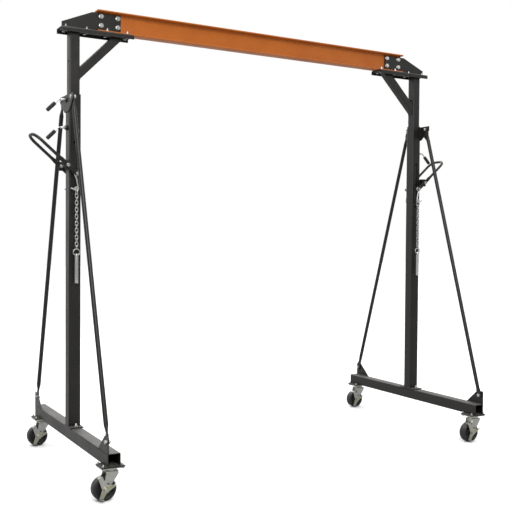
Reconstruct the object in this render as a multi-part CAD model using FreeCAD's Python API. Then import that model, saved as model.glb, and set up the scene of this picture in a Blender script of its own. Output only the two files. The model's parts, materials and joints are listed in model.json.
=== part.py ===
"""Portable gantry crane: an I-beam on two telescoping posts, each on a wheeled base tube.

Millimetres, +Z up. X runs along the beam, the left tower is at -X and the near side is -Y.
The origin is on the floor, midway between the towers.  The left tower is built in place and
the right one is its mirror image, except for the four swivel casters, which all trail to -X.
"""
import FreeCAD, Part
import math
import os

from FreeCAD import Placement, Rotation, Vector

# ---- driving dimensions ----------------------------------------------------------------
POST_SPACING = 2560.0        # between the axes of the two posts
BEAM_TOP = 2680.0            # overall height with the frame at its lowest lock position

BASE_LENGTH = 1384.0
BASE_TUBE = 70.0
BASE_BOTTOM = 181.0
OUTER_TUBE = 70.0
OUTER_TOP = 2177.0
INNER_TUBE = 60.0
INNER_LENGTH = 2200.0
WALL = 4.0

BEAM_LENGTH = 2290.0
BEAM_HEIGHT = 125.0
BEAM_WIDTH = 76.0
FLANGE = 8.0
WEB = 6.0
ROOT_RADIUS = 6.0

SADDLE_START = -82.0         # along X from the post's axis, positive towards the beam
SADDLE_END = 353.0
SADDLE_WIDTH = 106.0
SADDLE_DEPTH = 27.0
SADDLE_PLATE = 5.0
HEAD_PLATE = 8.0
SADDLE_BOLT_X = (-52.0, 73.0, 198.0, 323.0)
SADDLE_BOLT_Y = 22.0
GUSSET_PLATE = 8.0
WEB_BOLT_X = (163.0, 266.0)
WEB_BOLT_DROP = (34.0, 87.0)  # below the top of the beam
KNEE_TUBE = 50.0
KNEE_RISE = 242.0            # height and reach of the knee brace's centre line

FOOT_PLATE = 6.0
FOOT_BOLT_Y = 60.0
SLOT_LOW = 1580.0
SLOT_HIGH = 1906.0
SLOT_WIDTH = 22.0

LOCK_Z = (1984.0, 2144.0)    # lower and upper lock pins
LOCK_PITCH = 160.0
LOCK_HOLES = 10
TRANSPORT_HOLE_Z = 2366.0
LOCK_RADIUS = 7.0
LOCK_SHANK_END = -76.0       # along X from the post's axis, where the thinner handle starts
LOCK_BEND_X = -84.0
HANDLE_RADIUS = 4.0
HANDLE_BEND = 12.0
HANDLE_LENGTH = 92.0         # from the bend, 45 degrees down and outboard
GRIP_START = 32.0
GRIP_LENGTH = 66.0
GRIP_RADIUS = 11.5

BRACKET_BOLT_Y = 98.0
BRACKET_BOLT_Z = 2150.0
TAB_BOLT_Y = 665.0
TAB_BOLT_Z = 308.0
STRAP = 6.0                  # thickness of brackets, tabs and flattened tube ends
BRACE_RADIUS = 12.5
BRACE_WALL = 2.5

PIVOT_X = -52.0              # lever pivot, from the post's axis
PIVOT_Z = 1765.0
LEVER_ANGLE = 41.0
LEVER_REACH = 252.0
TIP_REACH = 71.0
ARM_Y = 70.0
LEVER_BAR = 9.0
LEVER_BEND = 35.0
LEVER_FLAT = 13.0            # half width of the flattened arms

HOOK_Y = 60.0                # plane of the hooks, the chain and the lift pin
HOOK_BAR = 4.5
HOOK_EYE = 10.5              # the points below are measured from the bolt in the lever's tip
HOOK_LINE = ((-10.3, -3.0), (0.0, -28.0), (9.5, -84.0), (6.0, -100.0), (-33.0, -84.0))
HOOK_WEB = ((7.0, -70.0), (-18.0, -90.0), (6.0, -100.0), (9.5, -84.0))
RING_HOLE_DROP = 88.0
RING_HOLE = 4.0

CHAIN_LINKS = 16
LINK_STEP = 19.8
LINK_WIRE = 2.5
LINK_HALF_WIDTH = 7.2
RING_RADIUS = 16.0
PIN_RING_RADIUS = 19.0
PIN_LENGTH = 171.0
PIN_RADIUS = 10.0

CASTER_Y = 635.0
CASTER_TRAIL = 37.0
WHEEL_RADIUS = 63.5
WHEEL_WIDTH = 50.0
PAD_HALF_X = 63.0
PAD_HALF_Y = 52.0
PAD_BOLT_X = 52.0
PAD_BOLT_Y = 40.0
CASTER_PLATE = 5.0
CROWN_TOP = 155.0
CROWN_BOTTOM = 150.0
KINGPIN_RADIUS = 7.0
LEG_INSIDE = 28.5
LEG_OUTSIDE = 32.5
AXLE_RADIUS = 6.0

WASHER = 2.5
RUNNING = 0.05               # radial clearance of a running fit
CLEAR = 0.4                  # clearance between loose pieces

# ---- derived levels ----------------------------------------------------------------------
POST_X = -POST_SPACING / 2
BASE_TOP = BASE_BOTTOM + BASE_TUBE
BEAM_BOTTOM = BEAM_TOP - BEAM_HEIGHT
HEAD_TOP = BEAM_BOTTOM - SADDLE_PLATE
HEAD_BOTTOM = HEAD_TOP - HEAD_PLATE
PAD_BOTTOM = BASE_BOTTOM - STRAP
FACE = OUTER_TUBE / 2        # outboard face of the outer post and of the base tube
RACE_TOP = PAD_BOTTOM - CASTER_PLATE
TIP_X = PIVOT_X + TIP_REACH * math.cos(math.radians(LEVER_ANGLE))
TIP_Z = PIVOT_Z - TIP_REACH * math.sin(math.radians(LEVER_ANGLE))
LINK_HALF_LENGTH = (LINK_STEP + 2 * LINK_WIRE + CLEAR) / 2
RING_TOP = TIP_Z - RING_HOLE_DROP - RING_HOLE + CLEAR + LINK_WIRE
CHAIN_TOP = RING_TOP - 2 * RING_RADIUS + 2 * LINK_WIRE + CLEAR
CHAIN_LOW = CHAIN_TOP - 2 * LINK_HALF_LENGTH - LINK_STEP * (CHAIN_LINKS - 1)
PIN_RING_Z = CHAIN_LOW + 2 * LINK_WIRE + CLEAR - PIN_RING_RADIUS


# ---- helpers -----------------------------------------------------------------------------
def block(x, y, z):
    """Box between the limits (low, high) on each axis."""
    return Part.makeBox(x[1] - x[0], y[1] - y[0], z[1] - z[0], Vector(x[0], y[0], z[0]))


def rod(start, end, radius):
    start = Vector(*start)
    along = Vector(*end) - start
    return Part.makeCylinder(radius, along.Length, start, along)


def fuse(pieces):
    return pieces[0].multiFuse(pieces[1:]).removeSplitter()


def plate_xz(points, y, thickness):
    """Plate with an outline in the XZ plane, from y towards +Y."""
    outline = Part.makePolygon([Vector(px, y, pz) for px, pz in points + points[:1]])
    return Part.Face(outline).extrude(Vector(0, thickness, 0))


def plate_yz(points, x, thickness):
    """Plate with an outline in the YZ plane, from x towards +X."""
    outline = Part.makePolygon([Vector(x, py, pz) for py, pz in points + points[:1]])
    return Part.Face(outline).extrude(Vector(thickness, 0, 0))


def round_along(shape, axis, radius):
    """Fillet the straight edges that run along a unit axis."""
    edges = [e for e in shape.Edges
             if abs(abs(e.tangentAt(e.FirstParameter).dot(axis)) - 1.0) < 1e-6]
    return shape.makeFillet(radius, edges)


def square_tube(size, wall, length):
    """Square tube along +Z from the origin, with rounded corners."""
    up = Vector(0, 0, 1)
    bore = size - 2 * wall
    outer = block((-size / 2, size / 2), (-size / 2, size / 2), (0, length))
    inner = block((-bore / 2, bore / 2), (-bore / 2, bore / 2), (-1, length + 1))
    return round_along(outer, up, 1.5 * wall).cut(round_along(inner, up, 0.4 * wall))


def hexagon(across_flats, height):
    radius = across_flats / math.sqrt(3)
    points = [Vector(radius * math.cos(math.radians(60 * k)), radius * math.sin(math.radians(60 * k)), 0)
              for k in range(7)]
    return Part.Face(Part.makePolygon(points)).extrude(Vector(0, 0, height))


def bolt(diameter, grip, seat, direction, washer=0.0):
    """Bolt with its nut: the head seats at a point and the shank runs along a direction."""
    head = 0.65 * diameter
    nut = 0.8 * diameter
    flats = 1.65 * diameter
    pieces = [hexagon(flats, head).translated(Vector(0, 0, -head)),
              Part.makeCylinder(diameter / 2, grip + nut + 0.4 * diameter),
              hexagon(flats, nut).translated(Vector(0, 0, grip))]
    if washer:
        disc = Part.makeCylinder(washer / 2, WASHER)
        under, over = Vector(0, 0, -WASHER), Vector(0, 0, WASHER)
        pieces = [pieces[0].translated(under), pieces[1], pieces[2].translated(over),
                  disc.translated(under), disc.translated(Vector(0, 0, grip))]
    made = fuse(pieces)
    made.Placement = Placement(Vector(*seat), Rotation(Vector(0, 0, 1), Vector(*direction)))
    return made


def ring(centre, axis, radius, wire):
    return Part.makeTorus(radius, wire, Vector(*centre), Vector(*axis))


def stadium_link(centre, across, half_width, half_length, wire):
    """Closed oval of round wire, long axis vertical; across is the unit axis of its width."""
    across = Vector(*across)
    up = Vector(0, 0, 1)
    middle = Vector(*centre)
    straight = half_length - half_width
    top = middle + up * straight
    low = middle - up * straight
    edges = [Part.LineSegment(low - across * half_width, top - across * half_width).toShape(),
             Part.Arc(top - across * half_width, top + up * half_width, top + across * half_width).toShape(),
             Part.LineSegment(top + across * half_width, low + across * half_width).toShape(),
             Part.Arc(low + across * half_width, low - up * half_width, low - across * half_width).toShape()]
    path = Part.Wire(edges)
    section = Part.Wire(Part.Circle(low - across * half_width, up, wire).toShape())
    return path.makePipeShell([section], True, True)


def at_post(shape):
    """Move a shape built around the post's axis to the left post."""
    return shape.translated(Vector(POST_X, 0, 0))


def mirrored(shape):
    return shape.mirror(Vector(0, 0, 0), Vector(1, 0, 0))


def save(node, *solids):
    shape = solids[0] if len(solids) == 1 else Part.makeCompound(list(solids))
    if not shape.isValid():
        print("not valid:", node)
    shape.exportStep("parts/%s.step" % node)
    print("%-28s solids %2d  volume %9.1f cm3" % (node, len(shape.Solids), shape.Volume / 1000))


def save_pair(name, *solids):
    """Save a left tower piece, built around its post, and the right tower's mirror image."""
    placed = [at_post(solid) for solid in solids]
    save("left_" + name, *placed)
    save("right_" + name, *[mirrored(solid) for solid in placed])


# ---- beam and the parts that rise with it ------------------------------------------------
def i_beam():
    half = BEAM_WIDTH / 2
    length = (-BEAM_LENGTH / 2, BEAM_LENGTH / 2)
    blank = block(length, (-half, half), (BEAM_BOTTOM, BEAM_TOP))
    for side in (-1, 1):
        inside = sorted((side * WEB / 2, side * (half + 1)))
        channel = block((length[0] - 1, length[1] + 1), inside, (BEAM_BOTTOM + FLANGE, BEAM_TOP - FLANGE))
        root = [e for e in channel.Edges
                if abs(e.CenterOfMass.y - side * WEB / 2) < 0.01 and e.Length > BEAM_LENGTH]
        blank = blank.cut(channel.makeFillet(ROOT_RADIUS, root))
    for tower in (-1, 1):
        for x in WEB_BOLT_X:
            for drop in WEB_BOLT_DROP:
                place = tower * (POST_SPACING / 2 - x)
                blank = blank.cut(rod((place, -half, BEAM_TOP - drop), (place, half, BEAM_TOP - drop), 7.5))
        for x in SADDLE_BOLT_X[2:]:
            for y in (-SADDLE_BOLT_Y, SADDLE_BOLT_Y):
                place = tower * (POST_SPACING / 2 - x)
                blank = blank.cut(rod((place, y, BEAM_BOTTOM - 1), (place, y, BEAM_BOTTOM + FLANGE + 1), 5.5))
    return blank


def saddle_holes(low, high):
    return [rod((x, y, low), (x, y, high), 5.5)
            for x in SADDLE_BOLT_X for y in (-SADDLE_BOLT_Y, SADDLE_BOLT_Y)]


def saddle():
    """Inverted channel that carries the beam's end, open downwards."""
    half = SADDLE_WIDTH / 2
    along = (SADDLE_START, SADDLE_END)
    outer = block(along, (-half, half), (BEAM_BOTTOM - SADDLE_DEPTH, BEAM_BOTTOM))
    inner = block((along[0] - 1, along[1] + 1), (SADDLE_PLATE - half, half - SADDLE_PLATE),
                  (BEAM_BOTTOM - SADDLE_DEPTH - 1, HEAD_TOP))

    def top_edges(shape, level):
        return [e for e in shape.Edges
                if abs(e.CenterOfMass.z - level) < 0.01 and e.Length > SADDLE_END - SADDLE_START - 1]

    outer = outer.makeFillet(9.0, top_edges(outer, BEAM_BOTTOM))
    inner = inner.makeFillet(4.0, top_edges(inner, HEAD_TOP))
    shell = outer.cut(inner)
    for hole in saddle_holes(HEAD_TOP - 1, BEAM_BOTTOM + 1):
        shell = shell.cut(hole)
    return shell


def head_plate():
    """Flat bar inside the saddle, welded across the post and the knee brace."""
    half = SADDLE_WIDTH / 2 - SADDLE_PLATE - 5
    bar = block((SADDLE_START + 6, SADDLE_END - 6), (-half, half), (HEAD_BOTTOM, HEAD_TOP))
    for hole in saddle_holes(HEAD_BOTTOM - 1, HEAD_TOP + 1):
        bar = bar.cut(hole)
    return bar


def gusset():
    """Web plate with a sloped outboard end; it steps over the beam's lower flange."""
    beam_end = (POST_SPACING - BEAM_LENGTH) / 2
    step = BEAM_BOTTOM + FLANGE + ROOT_RADIUS + 1
    top = BEAM_TOP - FLANGE - ROOT_RADIUS - 1
    outline = [(-71, BEAM_BOTTOM), (-71, BEAM_BOTTOM + 34), (108, top), (284, top), (284, step),
               (beam_end - 3, step), (beam_end - 3, BEAM_BOTTOM)]
    plate = plate_xz(outline, -WEB / 2 - GUSSET_PLATE, GUSSET_PLATE)
    for x in WEB_BOLT_X:
        for drop in WEB_BOLT_DROP:
            plate = plate.cut(rod((x, -20, BEAM_TOP - drop), (x, 0, BEAM_TOP - drop), 7.5))
    return plate


def inner_post():
    bottom = HEAD_BOTTOM - INNER_LENGTH
    post = square_tube(INNER_TUBE, WALL, INNER_LENGTH).translated(Vector(0, 0, bottom))
    levels = [LOCK_Z[1] - LOCK_PITCH * k for k in range(LOCK_HOLES)] + [TRANSPORT_HOLE_Z]
    for z in levels:
        post = post.cut(rod((-INNER_TUBE, 0, z), (INNER_TUBE, 0, z), LOCK_RADIUS + 1))
    for k in range(LOCK_HOLES - 2):
        z = LOCK_Z[0] - LOCK_PITCH * (k + 0.5)
        post = post.cut(rod((0, -INNER_TUBE, z), (0, INNER_TUBE, z), PIN_RADIUS + 1))
    return post


def knee_brace():
    """Square tube at 45 degrees from the post's inboard face up to the head plate."""
    reach = KNEE_RISE * math.sqrt(2)
    tube = square_tube(KNEE_TUBE, 3.0, reach + 4 * KNEE_TUBE).translated(Vector(0, 0, -2 * KNEE_TUBE))
    tube.Placement = Placement(Vector(INNER_TUBE / 2, 0, HEAD_BOTTOM - KNEE_RISE),
                               Rotation(Vector(0, 1, 0), 45)).multiply(tube.Placement)
    keep = block((INNER_TUBE / 2, SADDLE_END), (-KNEE_TUBE, KNEE_TUBE),
                 (HEAD_BOTTOM - 2 * KNEE_RISE, HEAD_BOTTOM))
    return tube.common(keep)


def beam_bolts():
    made = []
    for x in WEB_BOLT_X:
        for drop in WEB_BOLT_DROP:
            seat = (x, -WEB / 2 - GUSSET_PLATE, BEAM_TOP - drop)
            made.append(bolt(14, GUSSET_PLATE + WEB, seat, (0, 1, 0), washer=28))
    for x in SADDLE_BOLT_X:
        for y in (-SADDLE_BOLT_Y, SADDLE_BOLT_Y):
            over = FLANGE if x in SADDLE_BOLT_X[2:] else 0.0
            made.append(bolt(10, HEAD_PLATE + SADDLE_PLATE + over, (x, y, HEAD_BOTTOM), (0, 0, 1)))
    placed = [at_post(one) for one in made]
    return placed + [mirrored(one) for one in placed]


# ---- one end frame -----------------------------------------------------------------------
def base_tube():
    tube = square_tube(BASE_TUBE, WALL, BASE_LENGTH)
    tube.Placement = Placement(Vector(0, BASE_LENGTH / 2, BASE_BOTTOM + BASE_TUBE / 2),
                               Rotation(Vector(1, 0, 0), 90))
    for y in (-FOOT_BOLT_Y, FOOT_BOLT_Y):
        tube = tube.cut(rod((0, y, BASE_BOTTOM - 1), (0, y, BASE_TOP + 1), 6.5))
    return tube


def base_lugs():
    """Brace tabs on top of the base tube's ends and caster pads below them."""
    end = BASE_LENGTH / 2
    lugs = []
    for side in (-1, 1):
        outline = [(side * end, BASE_TOP), (side * end, BASE_TOP + 85),
                   (side * (end - 50), BASE_TOP + 85), (side * (end - 145), BASE_TOP)]
        tab = plate_yz(outline, -FACE, STRAP)
        hole_y = side * TAB_BOLT_Y
        lugs.append(tab.cut(rod((-60, hole_y, TAB_BOLT_Z), (0, hole_y, TAB_BOLT_Z), 6.5)))
        middle = side * CASTER_Y
        pad = block((-PAD_HALF_X, PAD_HALF_X), (middle - PAD_HALF_Y, middle + PAD_HALF_Y),
                    (PAD_BOTTOM, BASE_BOTTOM))
        for x in (-PAD_BOLT_X, PAD_BOLT_X):
            for y in (middle - PAD_BOLT_Y, middle + PAD_BOLT_Y):
                pad = pad.cut(rod((x, y, PAD_BOTTOM - 1), (x, y, BASE_BOTTOM + 1), 4.5))
        lugs.append(pad)
    return lugs


def foot_plate():
    half_y = FOOT_BOLT_Y + 18
    plate = block((-40, 40), (-half_y, half_y), (BASE_TOP, BASE_TOP + FOOT_PLATE))
    for y in (-FOOT_BOLT_Y, FOOT_BOLT_Y):
        plate = plate.cut(rod((0, y, BASE_TOP - 1), (0, y, BASE_TOP + FOOT_PLATE + 1), 6.5))
    return plate


def outer_post():
    bottom = BASE_TOP + FOOT_PLATE
    post = square_tube(OUTER_TUBE, WALL, OUTER_TOP - bottom).translated(Vector(0, 0, bottom))
    half = SLOT_WIDTH / 2
    slot = block((-half, half), (-OUTER_TUBE, OUTER_TUBE), (SLOT_LOW + half, SLOT_HIGH - half))
    for z in (SLOT_LOW + half, SLOT_HIGH - half):
        slot = slot.fuse(rod((0, -OUTER_TUBE, z), (0, OUTER_TUBE, z), half))
    post = post.cut(slot)
    for z in LOCK_Z:
        post = post.cut(rod((-OUTER_TUBE, 0, z), (0, 0, z), LOCK_RADIUS + CLEAR))
    return post


def brace_bracket():
    """Wing plate on the outboard face, wide at the top and tapered below."""
    top = BRACKET_BOLT_Z + 22
    low = BRACKET_BOLT_Z - 75
    outline = [(-124, top), (124, top), (124, BRACKET_BOLT_Z - 10), (40, low), (-40, low),
               (-124, BRACKET_BOLT_Z - 10)]
    plate = plate_yz(outline, -FACE - STRAP, STRAP)
    boss_hole = rod((-60, 0, LOCK_Z[1]), (0, 0, LOCK_Z[1]), LOCK_RADIUS + 8)
    plate = plate.cut(boss_hole)
    for y in (-BRACKET_BOLT_Y, BRACKET_BOLT_Y):
        plate = plate.cut(rod((-60, y, BRACKET_BOLT_Z), (0, y, BRACKET_BOLT_Z), 6.5))
    return plate


def outboard_fittings():
    """Lever bracket, a back plate with two ears, and the two lock pin bosses."""
    low, high = PIVOT_Z - 26, PIVOT_Z + 26
    back = block((-FACE - 4, -FACE), (-64, 64), (low, high))
    ears = []
    for side in (-1, 1):
        ear = block((-FACE - 32, -FACE), sorted((side * 59, side * 64)), (low, high))
        ears.append(round_along(ear, Vector(0, 1, 0), 4.0))
    bracket = fuse([back] + ears)
    bracket = bracket.cut(rod((PIVOT_X, -80, PIVOT_Z), (PIVOT_X, 80, PIVOT_Z), 6.2))
    bosses = []
    for z in LOCK_Z:
        collar = rod((-FACE - 13, 0, z), (-FACE, 0, z), LOCK_RADIUS + 7)
        bosses.append(collar.cut(rod((-60, 0, z), (0, 0, z), LOCK_RADIUS + RUNNING)))
    return [bracket] + bosses


def brace(side):
    """Round tube with flattened ends, from the bracket down to a tab on the base tube."""
    top_x = -FACE + STRAP / 2
    low_x = top_x + STRAP
    run_y = TAB_BOLT_Y - BRACKET_BOLT_Y
    run_z = TAB_BOLT_Z - BRACKET_BOLT_Z
    length = math.hypot(run_y, run_z)
    flat, taper, width = 42.0, 45.0, 34.0
    turn = Rotation(Vector(1, 0, 0), math.degrees(math.atan2(-run_y, run_z)))

    def section(x, along, thick, wide):
        curve = Part.Ellipse(Vector(0, 0, 0), wide, thick) if wide > thick else Part.Circle(
            Vector(0, 0, 0), Vector(0, 0, 1), wide)
        wire = Part.Wire(curve.toShape())
        wire.Placement = Placement(Vector(x, 0, along), Rotation(Vector(0, 0, 1), 90))
        return wire

    def flat_end(x, bolt_at, inward):
        x_limits = (x - STRAP / 2, x + STRAP / 2)
        bar = block(x_limits, (-width / 2, width / 2), sorted((bolt_at, bolt_at + inward * flat)))
        nose = rod((x_limits[0], 0, bolt_at), (x_limits[1], 0, bolt_at), width / 2)
        return bar.fuse(nose).cut(rod((x - 9, 0, bolt_at), (x + 9, 0, bolt_at), 6.5))

    tube = Part.makeLoft([section(top_x, flat, STRAP / 2, width / 2 - 0.5),
                          section(top_x, flat + taper, BRACE_RADIUS, BRACE_RADIUS),
                          section(low_x, length - flat - taper, BRACE_RADIUS, BRACE_RADIUS),
                          section(low_x, length - flat, STRAP / 2, width / 2 - 0.5)], True, True)
    bore = BRACE_RADIUS - BRACE_WALL
    hollow = Part.makeLoft([section(top_x, flat + taper, bore, bore),
                            section(low_x, length - flat - taper, bore, bore)], True, True)
    made = fuse([tube.cut(hollow), flat_end(top_x, 0.0, 1), flat_end(low_x, length, -1)])
    made.Placement = Placement(Vector(0, BRACKET_BOLT_Y, BRACKET_BOLT_Z), turn)
    return made if side > 0 else made.mirror(Vector(0, 0, 0), Vector(0, 1, 0))


def frame_bolts():
    made = [bolt(12, BASE_TUBE + FOOT_PLATE, (0, y, BASE_BOTTOM), (0, 0, 1))
            for y in (-FOOT_BOLT_Y, FOOT_BOLT_Y)]
    for side in (-1, 1):
        seat = (-FACE - STRAP, side * BRACKET_BOLT_Y, BRACKET_BOLT_Z)
        made.append(bolt(12, 2 * STRAP, seat, (1, 0, 0)))
        made.append(bolt(12, 2 * STRAP, (-FACE, side * TAB_BOLT_Y, TAB_BOLT_Z), (1, 0, 0)))
        seat = (PIVOT_X, side * (ARM_Y + STRAP / 2 + 0.6), PIVOT_Z)
        made.append(bolt(12, ARM_Y + STRAP / 2 + 0.6 - 59, seat, (0, -side, 0)))
    return made


# ---- lock pins ---------------------------------------------------------------------------
def lock_pin(z):
    """Pin through its boss, with a thinner handle that turns 45 degrees down and outboard."""
    slope = math.sqrt(0.5)
    turn = math.radians(22.5)
    setback = HANDLE_BEND * math.tan(turn)
    start = Vector(LOCK_SHANK_END + 4, 0, z)
    corner = Vector(LOCK_BEND_X, 0, z)
    down = Vector(-slope, 0, -slope)
    first = corner + Vector(setback, 0, 0)
    last = corner + down * setback
    middle = first + Vector(-math.sin(turn), 0, math.cos(turn) - 1) * HANDLE_BEND
    path = Part.Wire([Part.LineSegment(start, first).toShape(), Part.Arc(first, middle, last).toShape(),
                      Part.LineSegment(last, corner + down * HANDLE_LENGTH).toShape()])
    section = Part.Wire(Part.Circle(start, Vector(1, 0, 0), HANDLE_RADIUS).toShape())
    shank = rod((-32, 0, z), (LOCK_SHANK_END, 0, z), LOCK_RADIUS)
    rims = [e for e in shank.Edges if len(e.Vertexes) == 1]
    return fuse([shank.makeChamfer(1.5, rims), path.makePipeShell([section], True, False)])


def lock_grip(z):
    slope = math.sqrt(0.5)
    corner = Vector(LOCK_BEND_X, 0, z)
    down = Vector(-slope, 0, -slope)
    sleeve = Part.makeCylinder(GRIP_RADIUS, GRIP_LENGTH, corner + down * GRIP_START, down)
    sleeve = sleeve.makeFillet(3.0, [e for e in sleeve.Edges if e.Length > 60 and len(e.Vertexes) == 1])
    depth = HANDLE_LENGTH - GRIP_START + 1
    mouth = corner + down * (GRIP_START - 0.5)
    return sleeve.cut(Part.makeCylinder(HANDLE_RADIUS + RUNNING, depth, mouth, down))


# ---- lever, hooks, chain and lift pin ----------------------------------------------------
def lever():
    """U-shaped handle of round bar whose flattened ends straddle the post."""
    start = 40.0
    flat_end = 62.0
    corner = math.sqrt(0.5) * LEVER_BEND
    outer_x = LEVER_REACH - LEVER_BEND
    inner_y = ARM_Y - LEVER_BEND
    edges = [
        Part.LineSegment(Vector(start, -ARM_Y, 0), Vector(outer_x, -ARM_Y, 0)).toShape(),
        Part.Arc(Vector(outer_x, -ARM_Y, 0), Vector(outer_x + corner, -inner_y - corner, 0),
                 Vector(LEVER_REACH, -inner_y, 0)).toShape(),
        Part.LineSegment(Vector(LEVER_REACH, -inner_y, 0), Vector(LEVER_REACH, inner_y, 0)).toShape(),
        Part.Arc(Vector(LEVER_REACH, inner_y, 0), Vector(outer_x + corner, inner_y + corner, 0),
                 Vector(outer_x, ARM_Y, 0)).toShape(),
        Part.LineSegment(Vector(outer_x, ARM_Y, 0), Vector(start, ARM_Y, 0)).toShape(),
    ]
    section = Part.Wire(Part.Circle(Vector(start, -ARM_Y, 0), Vector(1, 0, 0), LEVER_BAR).toShape())
    pieces = [Part.Wire(edges).makePipeShell([section], True, False)]
    for y in (-ARM_Y, ARM_Y):
        sides = (y - STRAP / 2, y + STRAP / 2)
        strap = block((-TIP_REACH, flat_end), sides, (-LEVER_FLAT, LEVER_FLAT))
        strap = strap.fuse(rod((-TIP_REACH, sides[0], 0), (-TIP_REACH, sides[1], 0), LEVER_FLAT))
        pieces.append(strap)
    made = fuse(pieces)
    made = made.cut(rod((0, -90, 0), (0, 90, 0), 6 + RUNNING))
    made = made.cut(rod((-TIP_REACH, -90, 0), (-TIP_REACH, 90, 0), 5 + RUNNING))
    made.Placement = Placement(Vector(PIVOT_X, 0, PIVOT_Z), Rotation(Vector(0, 1, 0), 180 + LEVER_ANGLE))
    return made


def lift_hooks():
    """One open hook on each arm: bar formed round the tip bolt, with a web for the chain's ring."""
    made = []
    for side in (-1, 1):
        y = side * HOOK_Y
        line = [(TIP_X + x, y, TIP_Z + z) for x, z in HOOK_LINE]
        web = plate_xz([(TIP_X + x, TIP_Z + z) for x, z in HOOK_WEB], y - 2, 4)
        pieces = [ring((TIP_X, y, TIP_Z), (0, 1, 0), HOOK_EYE, HOOK_BAR), web]
        pieces += [rod(start, end, HOOK_BAR) for start, end in zip(line, line[1:])]
        pieces += [Part.makeSphere(HOOK_BAR, Vector(*corner)) for corner in line]
        hole_z = TIP_Z - RING_HOLE_DROP
        made.append(fuse(pieces).cut(rod((TIP_X, y - 10, hole_z), (TIP_X, y + 10, hole_z), RING_HOLE)))
        outside = ARM_Y + STRAP / 2 + 0.6
        made.append(bolt(10, outside - HOOK_Y + HOOK_BAR, (TIP_X, side * outside, TIP_Z), (0, -side, 0)))
    return made


def chain():
    made = [ring((TIP_X, -HOOK_Y, RING_TOP - RING_RADIUS), (1, 0, 0), RING_RADIUS, LINK_WIRE)]
    for k in range(CHAIN_LINKS):
        across = (1, 0, 0) if k % 2 == 0 else (0, 1, 0)
        centre = (TIP_X, -HOOK_Y, CHAIN_TOP - LINK_HALF_LENGTH - LINK_STEP * k)
        made.append(stadium_link(centre, across, LINK_HALF_WIDTH, LINK_HALF_LENGTH, LINK_WIRE))
    return made


def lift_pin():
    hole_z = PIN_RING_Z - PIN_RING_RADIUS + 1.4
    top = hole_z + 9.5
    shank = rod((TIP_X, -HOOK_Y, top - PIN_LENGTH), (TIP_X, -HOOK_Y, top), PIN_RADIUS)
    rims = [e for e in shank.Edges if len(e.Vertexes) == 1 and e.Length > 50]
    shank = shank.makeChamfer(2.0, rims)
    shank = shank.cut(rod((TIP_X - 20, -HOOK_Y, hole_z), (TIP_X + 20, -HOOK_Y, hole_z), 4.5))
    return [shank, ring((TIP_X, -HOOK_Y, PIN_RING_Z), (0, 1, 0), PIN_RING_RADIUS, LINK_WIRE)]


# ---- casters, built around their swivel axis ---------------------------------------------
def caster_plate():
    """Top plate with its upper race, kingpin and four bolts to the pad."""
    bolt_places = [(x, y) for x in (-PAD_BOLT_X, PAD_BOLT_X) for y in (-PAD_BOLT_Y, PAD_BOLT_Y)]
    plate = block((-PAD_HALF_X, PAD_HALF_X), (-PAD_HALF_Y, PAD_HALF_Y), (RACE_TOP, PAD_BOTTOM))
    for x, y in bolt_places:
        plate = plate.cut(rod((x, y, RACE_TOP - 1), (x, y, PAD_BOTTOM + 1), 4.5))
    race = rod((0, 0, RACE_TOP - 3), (0, 0, RACE_TOP), 27)
    kingpin = rod((0, 0, CROWN_BOTTOM - 8), (0, 0, RACE_TOP), KINGPIN_RADIUS)
    keeper = rod((0, 0, CROWN_BOTTOM - 8), (0, 0, CROWN_BOTTOM - CLEAR), 13)
    bolts = [bolt(8, CASTER_PLATE + STRAP, (x, y, RACE_TOP), (0, 0, 1)) for x, y in bolt_places]
    return [fuse([plate, race, kingpin, keeper])] + bolts


def caster_fork():
    """Pressed fork with its lower race and the axle bolt."""
    crown = block((-33, 33), (-LEG_OUTSIDE, LEG_OUTSIDE), (CROWN_BOTTOM, CROWN_TOP))
    race = rod((0, 0, CROWN_TOP), (0, 0, RACE_TOP - 3.5), 31)
    outline = [(-33, CROWN_TOP), (33, CROWN_TOP), (33, CROWN_TOP - 14),
               (16.5 - CASTER_TRAIL, WHEEL_RADIUS - 4), (-16.5 - CASTER_TRAIL, WHEEL_RADIUS + 4)]
    pieces = [crown, race]
    for inside, outside in ((-LEG_OUTSIDE, -LEG_INSIDE), (LEG_INSIDE, LEG_OUTSIDE)):
        leg = plate_xz(outline, inside, outside - inside)
        foot = rod((-CASTER_TRAIL, inside, WHEEL_RADIUS), (-CASTER_TRAIL, outside, WHEEL_RADIUS), 17)
        pieces.append(leg.fuse(foot))
    fork = fuse(pieces)
    fork = fork.cut(rod((0, 0, CROWN_BOTTOM - 1), (0, 0, RACE_TOP), KINGPIN_RADIUS + RUNNING))
    axle_hole = rod((-CASTER_TRAIL, -60, WHEEL_RADIUS), (-CASTER_TRAIL, 60, WHEEL_RADIUS),
                    AXLE_RADIUS + RUNNING)
    seat = (-CASTER_TRAIL, -LEG_OUTSIDE - 6, WHEEL_RADIUS)
    axle = bolt(2 * AXLE_RADIUS, 2 * LEG_OUTSIDE + 6, seat, (0, 1, 0))
    return [fork.cut(axle_hole), axle]


def caster_wheel():
    """Wheel turned about its axle, with a hub, a thinner disc and a round-shouldered tread."""
    half = WHEEL_WIDTH / 2
    rim = 45.0
    shoulder = 5.0
    near = [(AXLE_RADIUS + RUNNING, -half - 2), (17, -half - 2), (20, -13), (rim, -13), (rim + 3, -half),
            (WHEEL_RADIUS - shoulder, -half), (WHEEL_RADIUS, shoulder - half)]
    points = near + [(radius, -y) for radius, y in reversed(near)]
    outline = Part.makePolygon([Vector(r, y, 0) for r, y in points + points[:1]])
    wheel = Part.Face(outline).revolve(Vector(0, 0, 0), Vector(0, 1, 0), 360)
    return wheel.translated(Vector(-CASTER_TRAIL, 0, WHEEL_RADIUS))


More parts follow.
